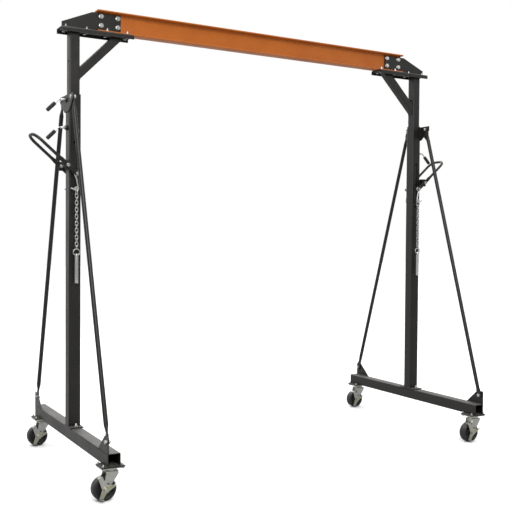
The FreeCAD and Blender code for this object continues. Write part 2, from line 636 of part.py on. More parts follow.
def caster_brake():
    """Foot brake on the axle: a side plate, a shoe over the tread and two pedals."""
    outside = -LEG_OUTSIDE - 5
    inside = -LEG_OUTSIDE - 1
    disc = rod((0, outside, 0), (0, inside, 0), 19)
    arm = plate_xz([(-19, 0), (8, 17), (-18, 69), (-40, 60)], outside, inside - outside)
    web = plate_xz([(8, 17), (-2, -19), (52, 12), (52, 24), (14, 24)], outside, inside - outside)
    heel = plate_xz([(-19, 4), (4, -18), (-14, -46), (-34, -42)], outside, inside - outside)
    shoe = plate_xz([(-38, 56), (-20, 64.6), (-22, 69), (-40, 60.4)], outside, LEG_OUTSIDE)
    pedal = block((34, 52), (outside - 16, inside), (20, 24))
    release = plate_xz([(-34, -42), (-14, -46), (-15, -50), (-35, -46)], outside - 16, inside - outside + 16)
    made = fuse([disc, arm, web, heel, shoe, pedal, release])
    made = made.cut(rod((0, -60, 0), (0, 0, 0), AXLE_RADIUS + RUNNING))
    return made.translated(Vector(-CASTER_TRAIL, 0, WHEEL_RADIUS))


# ---- write every node --------------------------------------------------------------------
os.makedirs("parts", exist_ok=True)

save("i_beam", i_beam())
save_pair("saddle", saddle())
save("head_plates", at_post(head_plate()), mirrored(at_post(head_plate())))
save_pair("gusset", gusset())
save_pair("inner_post", inner_post())
save_pair("knee_brace", knee_brace())
save("beam_bolts", *beam_bolts())

save_pair("base_tube", base_tube())
save_pair("base_lugs", *base_lugs())
save_pair("foot_plate", foot_plate())
save_pair("outer_post", outer_post())
save_pair("brace_bracket", brace_bracket())
save_pair("outboard_fittings", *outboard_fittings())
save_pair("front_brace", brace(-1))
save_pair("rear_brace", brace(1))
save_pair("frame_bolts", *frame_bolts())

for level, height in zip(("lower", "upper"), LOCK_Z):
    save_pair(level + "_lock_pin", lock_pin(height))
    save_pair(level + "_lock_grip", lock_grip(height))
save_pair("lever", lever())
save_pair("lift_hooks", *lift_hooks())
save_pair("chain", *chain())
save_pair("lift_pin", *lift_pin())

for tower, x in (("left", POST_X), ("right", -POST_X)):
    plates = []
    for end, y in (("front", -CASTER_Y), ("rear", CASTER_Y)):
        place = Vector(x, y, 0)
        plates += [solid.translated(place) for solid in caster_plate()]
        caster = "%s_%s_" % (tower, end)
        save(caster + "fork", *[solid.translated(place) for solid in caster_fork()])
        save(caster + "wheel", caster_wheel().translated(place))
        save(caster + "brake", caster_brake().translated(place))
    save(tower + "_caster_plates", *plates)
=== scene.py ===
"""Portable gantry crane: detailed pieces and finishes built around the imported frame.

Metres, +Z up, +X along the beam and -Y the near side.  The left tower's pieces are modelled in
place and the right tower's are their mirror images, except for the casters, which all trail to -X.
"""
import json
import math

import bmesh
import bpy
from mathutils import Matrix, Vector


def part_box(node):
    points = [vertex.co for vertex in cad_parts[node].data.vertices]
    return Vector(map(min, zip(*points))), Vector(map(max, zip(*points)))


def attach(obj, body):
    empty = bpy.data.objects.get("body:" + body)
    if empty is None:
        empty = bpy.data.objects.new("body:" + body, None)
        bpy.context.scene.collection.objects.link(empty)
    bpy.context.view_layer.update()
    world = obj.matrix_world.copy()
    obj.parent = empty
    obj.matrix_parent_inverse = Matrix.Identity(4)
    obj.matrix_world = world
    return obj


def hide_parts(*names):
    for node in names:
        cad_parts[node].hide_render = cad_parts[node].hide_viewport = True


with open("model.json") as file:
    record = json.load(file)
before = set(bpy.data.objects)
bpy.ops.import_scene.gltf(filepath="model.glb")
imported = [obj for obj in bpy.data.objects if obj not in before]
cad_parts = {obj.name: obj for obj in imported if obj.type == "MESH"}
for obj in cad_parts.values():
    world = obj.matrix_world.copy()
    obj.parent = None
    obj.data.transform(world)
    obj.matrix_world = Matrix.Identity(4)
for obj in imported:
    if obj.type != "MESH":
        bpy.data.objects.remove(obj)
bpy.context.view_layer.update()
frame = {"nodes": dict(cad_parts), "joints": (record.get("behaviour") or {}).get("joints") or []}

bl_info = {
    "name": "Portable Gantry Crane",
    "version": (1, 0, 0),
    "blender": (4, 5, 0),
    "location": "View3D > Sidebar > Gantry",
    "description": "Builds the finished pieces of a telescoping gantry crane around its frame",
    "category": "Object",
}

MM = 0.001
SIDES = ("left", "right")
ENDS = ("front", "rear")
CORNERS = tuple(side + "_" + end for side in SIDES for end in ENDS)

# ---- places read from the frame ----------------------------------------------------------
POST_LOW, POST_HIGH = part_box("left_outer_post")
INNER_LOW, INNER_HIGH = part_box("left_inner_post")
POST_X = (POST_LOW.x + POST_HIGH.x) / 2
BEAM_LOW, BEAM_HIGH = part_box("i_beam")
BASE_LOW, BASE_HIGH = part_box("left_base_tube")
JOINTS = {joint["name"]: joint for joint in frame["joints"]}
LEVER_PIVOT = Vector(JOINTS["left_lever_swing"]["pos_m"])
HOOK_PIVOT = Vector(JOINTS["left_hook_swing"]["pos_m"])
AXLE_HEIGHT = JOINTS["left_front_wheel_spin"]["pos_m"][2]
CASTER_TRAIL = JOINTS["left_front_swivel"]["pos_m"][0] - JOINTS["left_front_wheel_spin"]["pos_m"][0]

# ---- sizes in metres, and the lever's rise in degrees ------------------------------------
FLANGE = 8 * MM
WEB = 6 * MM
ROOT_RADIUS = 6 * MM
TOE_RADIUS = 3 * MM
BACK_RADIUS = 1 * MM
LEVER_BAR = 9 * MM
LEVER_BEND = 54 * MM
LEVER_ANGLE = 41.0
HOOK_BAR = 4.5 * MM
HOOK_EYE = 10.5 * MM
HOOK_OFFSET = 60 * MM
LINK_WIRE = 2.5 * MM
LINK_HALF_WIDTH = 7.2 * MM
LOCK_RADIUS = 7 * MM
HANDLE_RADIUS = 4 * MM
HANDLE_BEND = 12 * MM
WEB_BOLT = 14 * MM
SADDLE_BOLT = 10 * MM
FRAME_BOLT = 12 * MM
PLATE_BOLT = 8 * MM
WASHER = 2.5 * MM
WASHER_DISC = 28 * MM

# ---- proportions of a bolt, as shares of its diameter ------------------------------------
BOLT_HEAD = 0.65
BOLT_NUT = 0.8
BOLT_FLATS = 1.65
BOLT_ENDS = 1.85            # head, nut and thread past it, as in the frame's plain bolts
BOLT_GIRTH = 3              # a solid that is wider than this isn't a bolt
THREAD_PITCH = 0.15
THREAD_ROOT = 0.88
THREAD_PROUD = 0.4
LONG_THREAD_PROUD = 0.9
CHAMFER_CIRCLE = 0.47       # radius at which a hexagon's face ends, as a share of its flats

# ---- tolerances in metres, and how finely curves are drawn -------------------------------
SAME_PLACE = 1e-5
MERGE = 1e-6
FACING = 0.9                # least part of a face's normal along the way that it looks
SMOOTH = math.radians(30)
BEND_STEP = math.radians(11)
LINK_STEP = math.radians(22)
RING_STEP = math.radians(8)
WELD_SWELLING = 1.14
HOLE_STEPS = 24
WIRE_STEPS = 14


# ---- properties --------------------------------------------------------------------------
class GantrySizes(bpy.types.PropertyGroup):
    """Sizes of the small features that finish the pieces."""

    edge_round: bpy.props.FloatProperty(
        name="Edge rounding", description="Radius left on cut steel edges", default=0.8 * MM, unit="LENGTH")
    bead: bpy.props.FloatProperty(
        name="Weld bead", description="Radius of a weld bead", default=2.9 * MM, unit="LENGTH")
    bead_pitch: bpy.props.FloatProperty(
        name="Bead ripple", description="Distance between the ripples of a weld", default=3.1 * MM,
        unit="LENGTH")
    round_steps: bpy.props.IntProperty(
        name="Round steps", description="Points round a bar, pin or chain link", default=20, min=8, max=64)
    wheel_steps: bpy.props.IntProperty(
        name="Wheel steps", description="Points round a wheel", default=72, min=24, max=128)
    grip_ribs: bpy.props.IntProperty(
        name="Grip ribs", description="Ribs along each lock pin grip", default=11, min=2, max=24)


class GantryColours(bpy.types.PropertyGroup):
    """Colours of the finishes."""

    beam: bpy.props.FloatVectorProperty(
        name="Beam", description="Orange enamel of the beam", default=(0.42, 0.116, 0.011),
        size=3, subtype="COLOR")
    frame: bpy.props.FloatVectorProperty(
        name="Frame", description="Black powder coat of the end frames", default=(0.0052, 0.0048, 0.0042),
        size=3, subtype="COLOR")
    zinc: bpy.props.FloatVectorProperty(
        name="Zinc", description="Bright zinc plate of bolts, hooks and chain", default=(0.58, 0.60, 0.60),
        size=3, subtype="COLOR")
    caster: bpy.props.FloatVectorProperty(
        name="Caster", description="Zinc plate of the pressed caster parts", default=(0.47, 0.49, 0.49),
        size=3, subtype="COLOR")
    rocker: bpy.props.FloatVectorProperty(
        name="Rocker", description="Yellow zinc passivation of the brake rockers",
        default=(0.46, 0.45, 0.32), size=3, subtype="COLOR")
    wheel: bpy.props.FloatVectorProperty(
        name="Wheel", description="Moulded black of the wheels", default=(0.007, 0.007, 0.0072),
        size=3, subtype="COLOR")
    grip: bpy.props.FloatVectorProperty(
        name="Grip", description="Black rubber of the lock pin grips", default=(0.010, 0.010, 0.010),
        size=3, subtype="COLOR")
    floor: bpy.props.FloatVectorProperty(
        name="Floor", description="Pale studio floor", default=(0.90, 0.90, 0.90), size=3, subtype="COLOR")


class GantryStage(bpy.types.PropertyGroup):
    """Where the camera stands, and how strong the light is."""

    camera: bpy.props.FloatVectorProperty(
        name="Camera", description="Camera position", default=(-2.7392, -4.6433, 1.368), size=3,
        subtype="TRANSLATION", unit="LENGTH")
    heading: bpy.props.FloatProperty(
        name="Heading", description="Turn from +Y towards +X", default=math.radians(30.068),
        subtype="ANGLE")
    pitch: bpy.props.FloatProperty(
        name="Pitch", description="Tilt above the horizon", default=math.radians(-1.409), subtype="ANGLE")
    roll: bpy.props.FloatProperty(
        name="Roll", description="Lean of the camera", default=math.radians(0.405), subtype="ANGLE")
    lens: bpy.props.FloatProperty(
        name="Lens", description="Focal length in millimetres on a 36 mm sensor", default=57.47)
    sky: bpy.props.FloatProperty(
        name="Back wall", description="Strength of the white back wall", default=1.0)
    room: bpy.props.FloatProperty(
        name="Room", description="Strength of the dimmer room in front", default=0.22)
    ceiling: bpy.props.FloatProperty(
        name="Ceiling", description="Strength of the soft light overhead", default=1.5)
    key: bpy.props.FloatProperty(
        name="Key light", description="Power of the main soft light", default=260.0)


def sizes():
    return bpy.context.scene.gantry_sizes


def colours():
    return bpy.context.scene.gantry_colours


# ---- modelling helpers -------------------------------------------------------------------
def leave_edit():
    bpy.ops.object.mode_set(mode="OBJECT")


def rest():
    """Leave edit mode and deselect every object."""
    if bpy.context.mode != "OBJECT":
        leave_edit()
    bpy.ops.object.select_all(action="DESELECT")


def activate(*pieces):
    """Select only these pieces; the first one is active."""
    rest()
    for piece in pieces:
        piece.select_set(True)
    bpy.context.view_layer.objects.active = pieces[0]


def named(name):
    """Name the primitive just added and put its place into its mesh."""
    piece = bpy.context.object
    piece.name = name
    piece.data.name = name
    bpy.ops.object.transform_apply(location=True, rotation=True, scale=True)
    return piece


def block(name, low, high):
    """Block between two corners, to be shaped further."""
    rest()
    low, high = Vector(low), Vector(high)
    bpy.ops.mesh.primitive_cube_add(size=1, location=(low + high) / 2, scale=high - low)
    return named(name)


def hoop(name, centre, axis, radius, steps):
    """Start a turned or swept piece: an open circle of edges, left selected in edit mode."""
    rest()
    turn = Vector(axis).to_track_quat("Z", "Y").to_euler()
    bpy.ops.mesh.primitive_circle_add(vertices=steps, radius=radius, location=centre, rotation=turn)
    circle = named(name)
    edit(circle, "EDGE")
    pick_all()
    return circle


def edit(piece, kind="FACE"):
    """Enter edit mode with nothing selected."""
    activate(piece)
    bpy.ops.object.mode_set(mode="EDIT")
    bpy.ops.mesh.select_mode(type=kind)
    bpy.ops.mesh.select_all(action="DESELECT")


def pick(test, kind="faces"):
    """In edit mode, select only the faces, edges or verts that pass a test."""
    bpy.ops.mesh.select_all(action="DESELECT")
    data = bpy.context.object.data
    mesh = bmesh.from_edit_mesh(data)
    for part in getattr(mesh, kind):
        if test(part):
            part.select_set(True)
    bmesh.update_edit_mesh(data)


def pick_all():
    """In edit mode, select everything."""
    bpy.ops.mesh.select_all(action="SELECT")


def face_outwards():
    """In edit mode, point every face outwards."""
    pick_all()
    bpy.ops.mesh.normals_make_consistent(inside=False)


def middle(part):
    """Middle of a face or an edge."""
    if isinstance(part, bmesh.types.BMFace):
        return part.calc_center_median()
    return (part.verts[0].co + part.verts[1].co) / 2


def extrude(shift):
    bpy.ops.mesh.extrude_region_move(TRANSFORM_OT_translate={"value": shift})


def resize(factors, centre):
    bpy.ops.transform.resize(value=factors, center_override=centre)


def close_up(bridge=False):
    """Close the open rims, merge what meets and point every face outwards."""
    bpy.ops.mesh.select_mode(type="EDGE")
    pick_all()
    bpy.ops.mesh.remove_doubles(threshold=MERGE)
    if bridge:
        pick(lambda edge: edge.is_boundary, "edges")
        bpy.ops.mesh.bridge_edge_loops()
    else:
        pick_all()
        bpy.ops.mesh.fill_holes(sides=0)
    face_outwards()
    leave_edit()


def turned(name, base, axis, profile, steps, bridge=False):
    """Solid of revolution: profile lists (radius, distance along the axis)."""
    base, axis = Vector(base), Vector(axis).normalized()
    radius, along = profile[0]
    piece = hoop(name, base + axis * along, axis, radius, steps)
    for next_radius, next_along in profile[1:]:
        extrude(axis * (next_along - along))
        if next_radius != radius:
            scale = next_radius / radius
            resize((scale, scale, scale), base + axis * next_along)
        radius, along = next_radius, next_along
    close_up(bridge)
    return piece


def bar_moves(points, bends):
    """Runs and turns along a bent line: each inner point is rounded with its bend radius."""
    points = [Vector(point) for point in points]
    moves = []
    here = points[0]
    for before, corner, after, bend in zip(points, points[1:], points[2:], bends):
        into = (corner - before).normalized()
        out = (after - corner).normalized()
        angle = into.angle(out)
        setback = bend * math.tan(angle / 2)
        start = corner - into * setback
        axis = into.cross(out).normalized()
        centre = start + axis.cross(into) * bend
        moves.append(("run", start - here))
        moves.append(("turn", centre, axis, angle))
        here = corner + out * setback
    moves.append(("run", points[-1] - here))
    return moves


def follow(moves, step=BEND_STEP):
    """In edit mode, draw the selected rim along runs and turns; spin turns left-handed."""
    for move in moves:
        if move[0] == "run":
            extrude(move[1])
        else:
            count = max(2, round(move[3] / step))
            bpy.ops.mesh.spin(steps=count, angle=move[3], center=move[1], axis=-move[2])


def swept(name, start, direction, radius, moves):
    """Round bar drawn from a start point along runs and turns."""
    piece = hoop(name, start, direction, radius, sizes().round_steps)
    follow(moves)
    close_up()
    return piece


def bent_bar(name, points, bends, radius):
    """Round bar along a line of points, rounded at each inner point."""
    direction = Vector(points[1]) - Vector(points[0])
    return swept(name, points[0], direction, radius, bar_moves(points, bends))


def shade(piece, angle=None):
    """Shade a piece smooth: all over, or only where its faces meet at less than an angle."""
    activate(piece)
    if angle is None:
        bpy.ops.object.shade_smooth()
    else:
        bpy.ops.object.shade_smooth_by_angle(angle=angle)


def soften(piece, width, segments=2, angle=40):
    """Round the sharp edges with an applied bevel, then shade smooth between them."""
    activate(piece)
    bpy.ops.object.modifier_add(type="BEVEL")
    bevel = piece.modifiers[-1]
    bevel.width = width
    bevel.segments = segments
    bevel.limit_method = "ANGLE"
    bevel.angle_limit = math.radians(angle)
    bpy.ops.object.modifier_apply(modifier=bevel.name)
    shade(piece, SMOOTH)
    return piece


def combine(piece, tool, operation):
    """Cut a piece with a tool, or keep what they share; the tool is used up."""
    activate(piece)
    bpy.ops.object.modifier_add(type="BOOLEAN")
    cut = piece.modifiers[-1]
    cut.operation = operation
    cut.solver = "EXACT"
    cut.object = tool
    bpy.ops.object.modifier_apply(modifier=cut.name)
    bpy.data.objects.remove(tool)
    return piece


def drill(piece, start, axis, radius, depth, steps=HOLE_STEPS):
    """Drill a round hole through a piece, from a point outside it along an axis."""
    tool = turned("drill", start, axis, [(radius, 0), (radius, depth)], steps)
    return combine(piece, tool, "DIFFERENCE")


def copy_of(piece, name, matrix):
    """A copy with its own mesh, moved by a matrix and turned right side out if mirrored."""
    twin = piece.copy()
    twin.data = piece.data.copy()
    twin.name = name
    twin.data.name = name
    bpy.context.collection.objects.link(twin)
    twin.data.transform(matrix)
    if matrix.determinant() < 0:
        twin.data.flip_normals()
    return twin


def joined(name, pieces):
    """One piece from several, which are used up."""
    activate(*pieces)
    bpy.ops.object.join()
    piece = bpy.context.object
    piece.name = name
    piece.data.name = name
    return piece


def moved(offset):
    return Matrix.Translation(Vector(offset))


MIRROR_X = Matrix.Scale(-1, 4, (1, 0, 0))
MIRROR_Y = Matrix.Scale(-1, 4, (0, 1, 0))


def settle(piece, body, slot, *nodes, finish=None):
    """Give a piece its finish, its body and the CAD nodes it stands for."""
    piece.data.materials.clear()
    piece.data.materials.append(finishes()[finish or slot])
    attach(piece, body)
    if nodes:
        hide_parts(*nodes)


def settle_pair(piece, name, body, finish, node=None):
    """Place a left tower piece and its mirror image on the right tower."""
    twin = copy_of(piece, "right_" + name, MIRROR_X)
    piece.name = "left_" + name
    piece.data.name = piece.name
    for side, one in zip(SIDES, (piece, twin)):
        nodes = [side + "_" + node] if node else []
        settle(one, side + "_" + body, finish, *nodes)


def settle_corners(master, joint, name, body, slot, node=None, finish=None):
    """Place a copy of a left front caster's piece at every caster; the master is used up."""
    first = Vector(JOINTS[CORNERS[0] + "_" + joint]["pos_m"])
    for corner in CORNERS:
        shift = Vector(JOINTS[corner + "_" + joint]["pos_m"]) - first
        nodes = [corner + "_" + node] if node else []
        settle(copy_of(master, corner + "_" + name, moved(shift)), corner + "_" + body, slot, *nodes,
               finish=finish)
    bpy.data.objects.remove(master)


def solids(node):
    """(lowest, highest, head side) of each separate solid of a CAD node.

    The head side is -1 or +1: the end of the longest side at which the solid is the wider.
    """
    mesh = bmesh.new()
    mesh.from_mesh(frame["nodes"][node].data)
    bmesh.ops.remove_doubles(mesh, verts=mesh.verts, dist=MERGE)
    found, seen = [], set()
    for first in mesh.verts:
        if first in seen:
            continue
        seen.add(first)
        island, fresh = [], [first]
        while fresh:
            vert = fresh.pop()
            island.append(vert.co.copy())
            for edge in vert.link_edges:
                other = edge.other_vert(vert)
                if other not in seen:
                    seen.add(other)
                    fresh.append(other)
        low = Vector(min(point[axis] for point in island) for axis in range(3))
        high = Vector(max(point[axis] for point in island) for axis in range(3))
        size = high - low
        long_axis = max(range(3), key=lambda axis: size[axis])
        across = [axis for axis in range(3) if axis != long_axis]

        def width_at(level):
            ends = [point for point in island if abs(point[long_axis] - level) < SAME_PLACE]
            return max(point[across[0]] for point in ends) - min(point[across[0]] for point in ends)

        head = -1 if width_at(low[long_axis]) > width_at(high[long_axis]) else 1
        found.append((low, high, head))
    mesh.free()
    return found


# ---- shader groups -----------------------------------------------------------------------
def new_group(name, inputs, outputs):
    """Node group with named float or vector sockets, given as (name, kind, default)."""
    group = bpy.data.node_groups.new(name, "ShaderNodeTree")
    for label, kind, value in inputs:
        socket = group.interface.new_socket(name=label, in_out="INPUT", socket_type="NodeSocket" + kind)
        if value is not None:
            socket.default_value = value
    for label, kind in outputs:
        group.interface.new_socket(name=label, in_out="OUTPUT", socket_type="NodeSocket" + kind)
    return group, group.nodes.new("NodeGroupInput"), group.nodes.new("NodeGroupOutput")


def add_node(tree, kind, place=(0, 0), **values):
    """Node with its properties and unlinked socket values set by name."""
    node = tree.nodes.new("ShaderNode" + kind)
    node.location = place
    for key, value in values.items():
        if hasattr(node, key):
            setattr(node, key, value)
        else:
            node.inputs[key.replace("_", " ")].default_value = value
    return node


def spread(tree, source, low, high, to_low, to_high, place=(0, 0)):
    """Map a value from one range to another, clamped."""
    node = add_node(tree, "MapRange", place)
    for label, value in (("From Min", low), ("From Max", high), ("To Min", to_low), ("To Max", to_high)):
        node.inputs[label].default_value = value
    tree.links.new(source, node.inputs["Value"])
    return node.outputs["Result"]


def blend(tree, amount, first, second, place=(0, 0), mode="MIX"):
    """Mix two colours; a socket is linked and a plain colour is set."""
    node = add_node(tree, "Mix", place)
    node.data_type = "RGBA"
    node.blend_type = mode
    for socket, value in ((node.inputs[0], amount), (node.inputs[6], first), (node.inputs[7], second)):
        if isinstance(value, bpy.types.NodeSocket):
            tree.links.new(value, socket)
        elif isinstance(value, (int, float)):
            socket.default_value = value
        else:
            socket.default_value = (*value, 1.0)
    return node.outputs[2]


def combine_values(tree, operation, first, second, place=(0, 0)):
    node = add_node(tree, "Math", place)
    node.operation = operation
    for socket, value in zip(node.inputs, (first, second)):
        if isinstance(value, bpy.types.NodeSocket):
            tree.links.new(value, socket)
        else:
            socket.default_value = value
    return node.outputs[0]


def coat_texture_group():
    """Orange peel of a sprayed or powder coat: a height, and a soft mottling mask."""
    group, start, end = new_group(
        "Coat Texture",
        [("Vector", "Vector", None), ("Peel Scale", "Float", 420.0), ("Mottle Scale", "Float", 9.0)],
        [("Height", "Float"), ("Mottle", "Float")])
    peel = add_node(group, "TexNoise", (-400, 200), Detail=2.0, Roughness=0.45)
    fine = add_node(group, "TexNoise", (-400, -40), Detail=3.0, Roughness=0.6)
    mottle = add_node(group, "TexNoise", (-400, -280), Detail=5.0, Roughness=0.62)
    scale = combine_values(group, "MULTIPLY", start.outputs["Peel Scale"], 3.3, (-600, -40))
    for node in (peel, fine, mottle):
        group.links.new(start.outputs["Vector"], node.inputs["Vector"])
    group.links.new(start.outputs["Peel Scale"], peel.inputs["Scale"])
    group.links.new(scale, fine.inputs["Scale"])
    group.links.new(start.outputs["Mottle Scale"], mottle.inputs["Scale"])
    small = combine_values(group, "MULTIPLY", fine.outputs["Fac"], 0.25, (-200, -40))
    height = combine_values(group, "ADD", peel.outputs["Fac"], small, (0, 100))
    group.links.new(height, end.inputs["Height"])
    patches = spread(group, mottle.outputs["Fac"], 0.3, 0.7, 0.0, 1.0, (0, -280))
    group.links.new(patches, end.inputs["Mottle"])
    return group


def scuff_group():
    """Fine handling marks: thin crossed scratches in patches."""
    group, start, end = new_group(
        "Handling Marks",
        [("Vector", "Vector", None), ("Scale", "Float", 60.0), ("Amount", "Float", 0.5)],
        [("Mask", "Float")])
    stretch = add_node(group, "Mapping", (-700, 100))
    stretch.inputs["Rotation"].default_value = (0.5, 0.35, 0.7)
    stretch.inputs["Scale"].default_value = (1.0, 0.06, 1.0)
    lines = add_node(group, "TexNoise", (-450, 100), Detail=3.0, Roughness=0.7)
    patches = add_node(group, "TexNoise", (-450, -200), Scale=7.0, Detail=3.0)
    group.links.new(start.outputs["Vector"], stretch.inputs["Vector"])
    group.links.new(stretch.outputs["Vector"], lines.inputs["Vector"])
    group.links.new(start.outputs["Scale"], lines.inputs["Scale"])
    group.links.new(start.outputs["Vector"], patches.inputs["Vector"])
    thin = spread(group, lines.outputs["Fac"], 0.66, 0.72, 0.0, 1.0, (-200, 100))
    where = spread(group, patches.outputs["Fac"], 0.5, 0.66, 0.0, 1.0, (-200, -200))
    mask = combine_values(group, "MULTIPLY", thin, where, (0, 0))
    mask = combine_values(group, "MULTIPLY", mask, start.outputs["Amount"], (200, 0))
    group.links.new(mask, end.inputs["Mask"])
    return group


def dust_and_sheen_group():
    """Paler faces that look upwards: settled dust, and on the black frame coat also a painted highlight of
    the overhead light on their tops.
    """
    group, start, end = new_group(
        "Settled Dust",
        [("Vector", "Vector", None), ("Scale", "Float", 40.0), ("Amount", "Float", 0.3)],
        [("Mask", "Float")])
    geometry = add_node(group, "NewGeometry", (-700, 200))
    parts = add_node(group, "SeparateXYZ", (-500, 200))
    speckle = add_node(group, "TexNoise", (-500, -100), Detail=6.0, Roughness=0.7)
    group.links.new(geometry.outputs["Normal"], parts.inputs[0])
    group.links.new(start.outputs["Vector"], speckle.inputs["Vector"])
    group.links.new(start.outputs["Scale"], speckle.inputs["Scale"])
    upward = spread(group, parts.outputs["Z"], 0.35, 1.0, 0.0, 1.0, (-300, 200))
    grains = spread(group, speckle.outputs["Fac"], 0.38, 0.7, 0.15, 1.0, (-300, -100))
    mask = combine_values(group, "MULTIPLY", upward, grains, (-100, 50))
    mask = combine_values(group, "MULTIPLY", mask, start.outputs["Amount"], (100, 50))
    group.links.new(mask, end.inputs["Mask"])
    return group


def plating_group():
    """Zinc plate: faint crystals, cloudy passivation and fine draw lines."""
    group, start, end = new_group(
        "Zinc Plating",
        [("Vector", "Vector", None), ("Crystal Scale", "Float", 180.0), ("Cloud Scale", "Float", 30.0)],
        [("Tint", "Float"), ("Roughness", "Float"), ("Height", "Float")])
    crystals = add_node(group, "TexVoronoi", (-500, 250))
    cloud = add_node(group, "TexNoise", (-500, -50), Detail=4.0, Roughness=0.6)
    lines = add_node(group, "TexNoise", (-500, -350), Scale=900.0, Detail=2.0)
    for node in (crystals, cloud, lines):
        group.links.new(start.outputs["Vector"], node.inputs["Vector"])
    group.links.new(start.outputs["Crystal Scale"], crystals.inputs["Scale"])
    group.links.new(start.outputs["Cloud Scale"], cloud.inputs["Scale"])
    cell = add_node(group, "SeparateColor", (-300, 250))
    group.links.new(crystals.outputs["Color"], cell.inputs[0])
    tint = combine_values(group, "MULTIPLY", cell.outputs[0], 0.35, (-100, 250))
    haze = spread(group, cloud.outputs["Fac"], 0.3, 0.7, 0.0, 0.65, (-300, -50))
    tint = combine_values(group, "ADD", tint, haze, (100, 150))
    group.links.new(tint, end.inputs["Tint"])
    rough = spread(group, tint, 0.0, 1.0, 0.24, 0.46, (300, 0))
    group.links.new(rough, end.inputs["Roughness"])
    height = combine_values(group, "ADD", lines.outputs["Fac"], tint, (300, -250))
    group.links.new(height, end.inputs["Height"])
    return group


# ---- materials ---------------------------------------------------------------------------
def start_material(name):
    """Material with only a Principled shader, and its object coordinates."""
    material = bpy.data.materials.new(name)
    material.use_nodes = True
    tree = material.node_tree
    tree.nodes.clear()
    output = add_node(tree, "OutputMaterial", (900, 0))
    shader = add_node(tree, "BsdfPrincipled", (600, 0))
    tree.links.new(shader.outputs[0], output.inputs["Surface"])
    place = add_node(tree, "TexCoord", (-900, 0))
    return material, tree, shader, place.outputs["Object"]


def use_group(tree, name, vector, place, **values):
    """One shared effect with this material's own values."""
    node = tree.nodes.new("ShaderNodeGroup")
    node.node_tree = bpy.data.node_groups[name]
    node.location = place
    tree.links.new(vector, node.inputs["Vector"])
    for key, value in values.items():
        node.inputs[key.replace("_", " ")].default_value = value
    return node


def add_bump(tree, shader, height, strength, distance):
    """Raise a height's pattern on the surface; the distance is in metres."""
    bump = add_node(tree, "Bump", (300, -400))
    bump.inputs["Strength"].default_value = strength
    bump.inputs["Distance"].default_value = distance
    tree.links.new(height, bump.inputs["Height"])
    tree.links.new(bump.outputs["Normal"], shader.inputs["Normal"])


def beam_enamel():
    """Satin orange enamel over rolled steel."""
    material, tree, shader, vector = start_material("beam_enamel")
    red, green, blue = colours().beam
    coat = use_group(tree, "Coat Texture", vector, (-600, 200), Peel_Scale=260.0, Mottle_Scale=5.0)
    marks = use_group(tree, "Handling Marks", vector, (-600, -50), Scale=45.0, Amount=0.55)
    dust_and_sheen = use_group(tree, "Settled Dust", vector, (-600, -300), Scale=60.0, Amount=0.16)
    deep = (red * 0.86, green * 0.76, blue * 0.6)
    colour = blend(tree, coat.outputs["Mottle"], (red, green, blue), deep, (-200, 200))
    colour = blend(tree, marks.outputs["Mask"], colour, (0.42, 0.17, 0.06), (0, 100))
    colour = blend(tree, dust_and_sheen.outputs["Mask"], colour, (0.62, 0.5, 0.4), (200, 50))
    tree.links.new(colour, shader.inputs["Base Color"])
    rough = spread(tree, coat.outputs["Mottle"], 0.0, 1.0, 0.40, 0.50, (-200, -150))
    rough = combine_values(tree, "ADD", rough, dust_and_sheen.outputs["Mask"], (200, -150))
    tree.links.new(rough, shader.inputs["Roughness"])
    shader.inputs["Specular IOR Level"].default_value = 0.3
    shader.inputs["Coat Weight"].default_value = 0.04
    shader.inputs["Coat Roughness"].default_value = 0.22
    add_bump(tree, shader, coat.outputs["Height"], strength=0.30, distance=0.0006)
    return material


def powder_coat():
    """Semi-gloss black powder coat, paler on faces that look upwards: partly settled dust, partly a painted
    highlight of the overhead light.
    """
    material, tree, shader, vector = start_material("black_powder_coat")
    red, green, blue = colours().frame
    coat = use_group(tree, "Coat Texture", vector, (-600, 200), Peel_Scale=520.0, Mottle_Scale=7.0)
    marks = use_group(tree, "Handling Marks", vector, (-600, -50), Scale=70.0, Amount=0.5)
    dust_and_sheen = use_group(tree, "Settled Dust", vector, (-600, -300), Scale=90.0, Amount=0.34)
    warm = (red * 1.7, green * 1.6, blue * 1.45)
    colour = blend(tree, coat.outputs["Mottle"], (red, green, blue), warm, (-200, 200))
    colour = blend(tree, marks.outputs["Mask"], colour, (0.09, 0.088, 0.082), (0, 100))
    # upward faces are mixed towards pale grey: partly settled dust, partly a painted highlight that stands
    # in for the overhead light's sheen on the tops
    colour = blend(tree, dust_and_sheen.outputs["Mask"], colour, (0.36, 0.34, 0.31), (200, 50))
    tree.links.new(colour, shader.inputs["Base Color"])
    rough = spread(tree, coat.outputs["Mottle"], 0.0, 1.0, 0.36, 0.47, (-200, -150))
    rough = combine_values(tree, "ADD", rough, dust_and_sheen.outputs["Mask"], (200, -150))
    tree.links.new(rough, shader.inputs["Roughness"])
    shader.inputs["Specular IOR Level"].default_value = 0.42
    add_bump(tree, shader, coat.outputs["Height"], strength=0.35, distance=0.0004)
    return material


def zinc(name, colour, warm, crystal, cloud):
    """Plated steel whose passivation drifts towards a warmer tint."""
    material, tree, shader, vector = start_material(name)
    plating = use_group(tree, "Zinc Plating", vector, (-600, 200), Crystal_Scale=crystal, Cloud_Scale=cloud)
    marks = use_group(tree, "Handling Marks", vector, (-600, -100), Scale=120.0, Amount=0.6)
    mixed = blend(tree, plating.outputs["Tint"], tuple(colour), warm, (-200, 200))
    mixed = blend(tree, marks.outputs["Mask"], mixed, tuple(part * 0.6 for part in colour), (0, 100))
    tree.links.new(mixed, shader.inputs["Base Color"])
    shader.inputs["Metallic"].default_value = 1.0
    rubbed = combine_values(tree, "MULTIPLY", marks.outputs["Mask"], 0.2, (0, -200))
    rough = combine_values(tree, "ADD", plating.outputs["Roughness"], rubbed, (200, -150))
    tree.links.new(rough, shader.inputs["Roughness"])
    add_bump(tree, shader, plating.outputs["Height"], strength=0.12, distance=0.0002)
    return material


